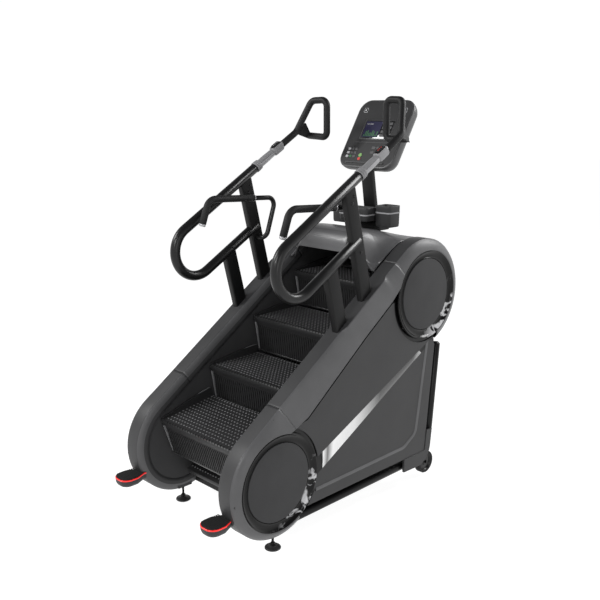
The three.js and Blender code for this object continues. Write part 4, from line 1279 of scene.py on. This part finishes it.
# ------------------------------------------------------------------ frame and hidden pieces
def base_tubes(mat):
    axle = [(0.01, 336), (7.9, 336), (7.9, 391), (0.01, 391)]
    for name, side in SIDES:
        route = fillet([(366, -515, 125), (366, 540, 125), (366, 688, 268), (366, 734, 760)], 70, 12)
        rail = tube(route, 24, 32, 9)
        piece(f"{name}_base_tube", rail, mat["base"], "base_frame", side=side, smooth=50)
        lug = merge(lathe(WHEEL, axle, 24), box(326, 340, 512, 680, 70, 110))
        piece(f"{name}_base_lug", lug, mat["post"], side=side)
    members = [box(-350, 350, y - 25, y + 25, 101, 148) for y in (-383, 60, 500)]
    socket = [(7, 101), (19, 101), (19, 140), (7, 140), (7, 101)]
    members += [turned(x, y, socket, 24) for _, x, y in FEET]
    piece("base_members", merge(*members), mat["post"], edge=(3, 2))


def front_panel(mat):
    """The cover over the far end, with pressed ribs."""
    rows = []
    for t in ramped(0, 1, 30):
        y, z = 705 + 44 * t, 160 + 668 * t
        rib = 2.2 if 0.12 < t < 0.88 and int(t * 16) % 2 else 0
        rows.append([(x, y - (rib if abs(x) < 250 else 0), z) for x in (-297, -252, -248, 248, 252, 297)])
    shape = loft(rows, closed=False, cap=False)
    thicken(piece("front_panel", shape, mat["cover"], "front_cover"), 4)


def finish_cad(mat, frame):
    """Gives the CAD nodes that stay on show the same finishes."""
    looks = {
        "chain": "steel",
        "incline_plate": "post",
        "shaft": "steel",
        "alternator": "steel",
        "belt": "rubber",
        "control_box": "post",
        "mast_bridge": "post",
    }
    for name, node in frame["nodes"].items():
        for word, key in looks.items():
            if word in name:
                node.data.materials.clear()
                node.data.materials.append(mat[key])


# ------------------------------------------------------------------ stage
def set_camera():
    camera = bpy.data.objects.new("camera", bpy.data.cameras.new("camera"))
    bpy.context.scene.collection.objects.link(camera)
    camera.location = CAMERA_PLACE
    camera.rotation_euler = [math.radians(angle) for angle in CAMERA_TURN]
    camera.data.lens = CAMERA_LENS
    camera.data.sensor_width = 36
    camera.data.clip_end = 60
    bpy.context.scene.camera = camera


def area_light(name, position, target, size, power):
    light = bpy.data.lights.new(name, "AREA")
    light.shape = "RECTANGLE"
    light.size, light.size_y = size
    light.energy = power
    obj = bpy.data.objects.new(name, light)
    obj.location = position
    aim = Vector(target) - Vector(position)
    obj.rotation_euler = aim.to_track_quat("-Z", "Y").to_euler()
    bpy.context.scene.collection.objects.link(obj)


def set_world():
    """A plain studio: white low down, which lights the sides, and dim overhead."""
    world = bpy.data.worlds.new("studio")
    bpy.context.scene.world = world
    world.use_nodes = True
    where = add_node(world, "TexCoord")
    split = add_node(world, "SeparateXYZ")
    join(world, where, "Generated", split, "Vector")
    fade = add_ramp(world, ((0.22, (1.0, 1.0, 1.0)), (0.45, (0.16, 0.16, 0.165))))
    join(world, split, "Z", fade, "Fac")
    background = world.node_tree.nodes["Background"]
    join(world, fade, "Color", background, "Color")
    background.inputs["Strength"].default_value = 1.02


def set_stage(mat):
    mesh = bpy.data.meshes.new("floor")
    r = FLOOR_REACH
    mesh.from_pydata([(-r, -r, 0), (r, -r, 0), (r, r, 0), (-r, r, 0)], [], [(0, 1, 2, 3)])
    mesh.materials.append(mat["floor"])
    floor = bpy.data.objects.new("floor", mesh)
    bpy.context.scene.collection.objects.link(floor)
    set_world()
    area_light("key", (-3.0, -3.4, 4.4), (0, -0.1, 0.9), (1.6, 1.6), 190)
    area_light("rim", (1.6, 3.4, 3.4), (0, 0.3, 1.1), (1.2, 2.0), 120)
    area_light("side", (4.2, -1.6, 2.2), (0, 0, 0.8), (0.7, 2.6), 26)
    area_light("front", (0.9, -4.0, 3.4), (0.1, -0.5, 0.6), (0.9, 0.9), 75)
    bpy.context.scene.view_settings.view_transform = "Standard"
    bpy.context.scene.view_settings.look = "None"


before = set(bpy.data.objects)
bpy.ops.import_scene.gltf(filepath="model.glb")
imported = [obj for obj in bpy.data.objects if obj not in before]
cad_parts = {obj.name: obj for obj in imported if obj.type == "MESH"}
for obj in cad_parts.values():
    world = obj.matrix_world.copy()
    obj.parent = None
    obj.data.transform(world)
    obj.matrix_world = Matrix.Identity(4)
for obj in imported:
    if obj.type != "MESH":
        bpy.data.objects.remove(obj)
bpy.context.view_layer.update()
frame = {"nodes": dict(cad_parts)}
set_camera()
mat = make_materials()
set_stage(mat)
for name, side in SIDES:
    cover_shell(mat, side, name)
    inner_wall(mat, side, name)
    round_cover(mat, side, name, LOW, "lower")
    round_cover(mat, side, name, TOP, "upper")
    screws(mat, side, name)
    side_panel(mat, side, name)
    corner_cover(mat, side, name)
    handrail(mat, side, name)
    inner_grip(mat, side, name)
    pulse_grip(mat, side, name)
    switch(mat, side, name)
    upper_grip(mat, side, name)
    pedal(mat, side, name)
    wheel(mat, side, name)
steps(mat)
feet(mat)
hood_shell(mat)
mast(mat)
trays(mat)
console(mat)
base_tubes(mat)
front_panel(mat)
finish_cad(mat, frame)
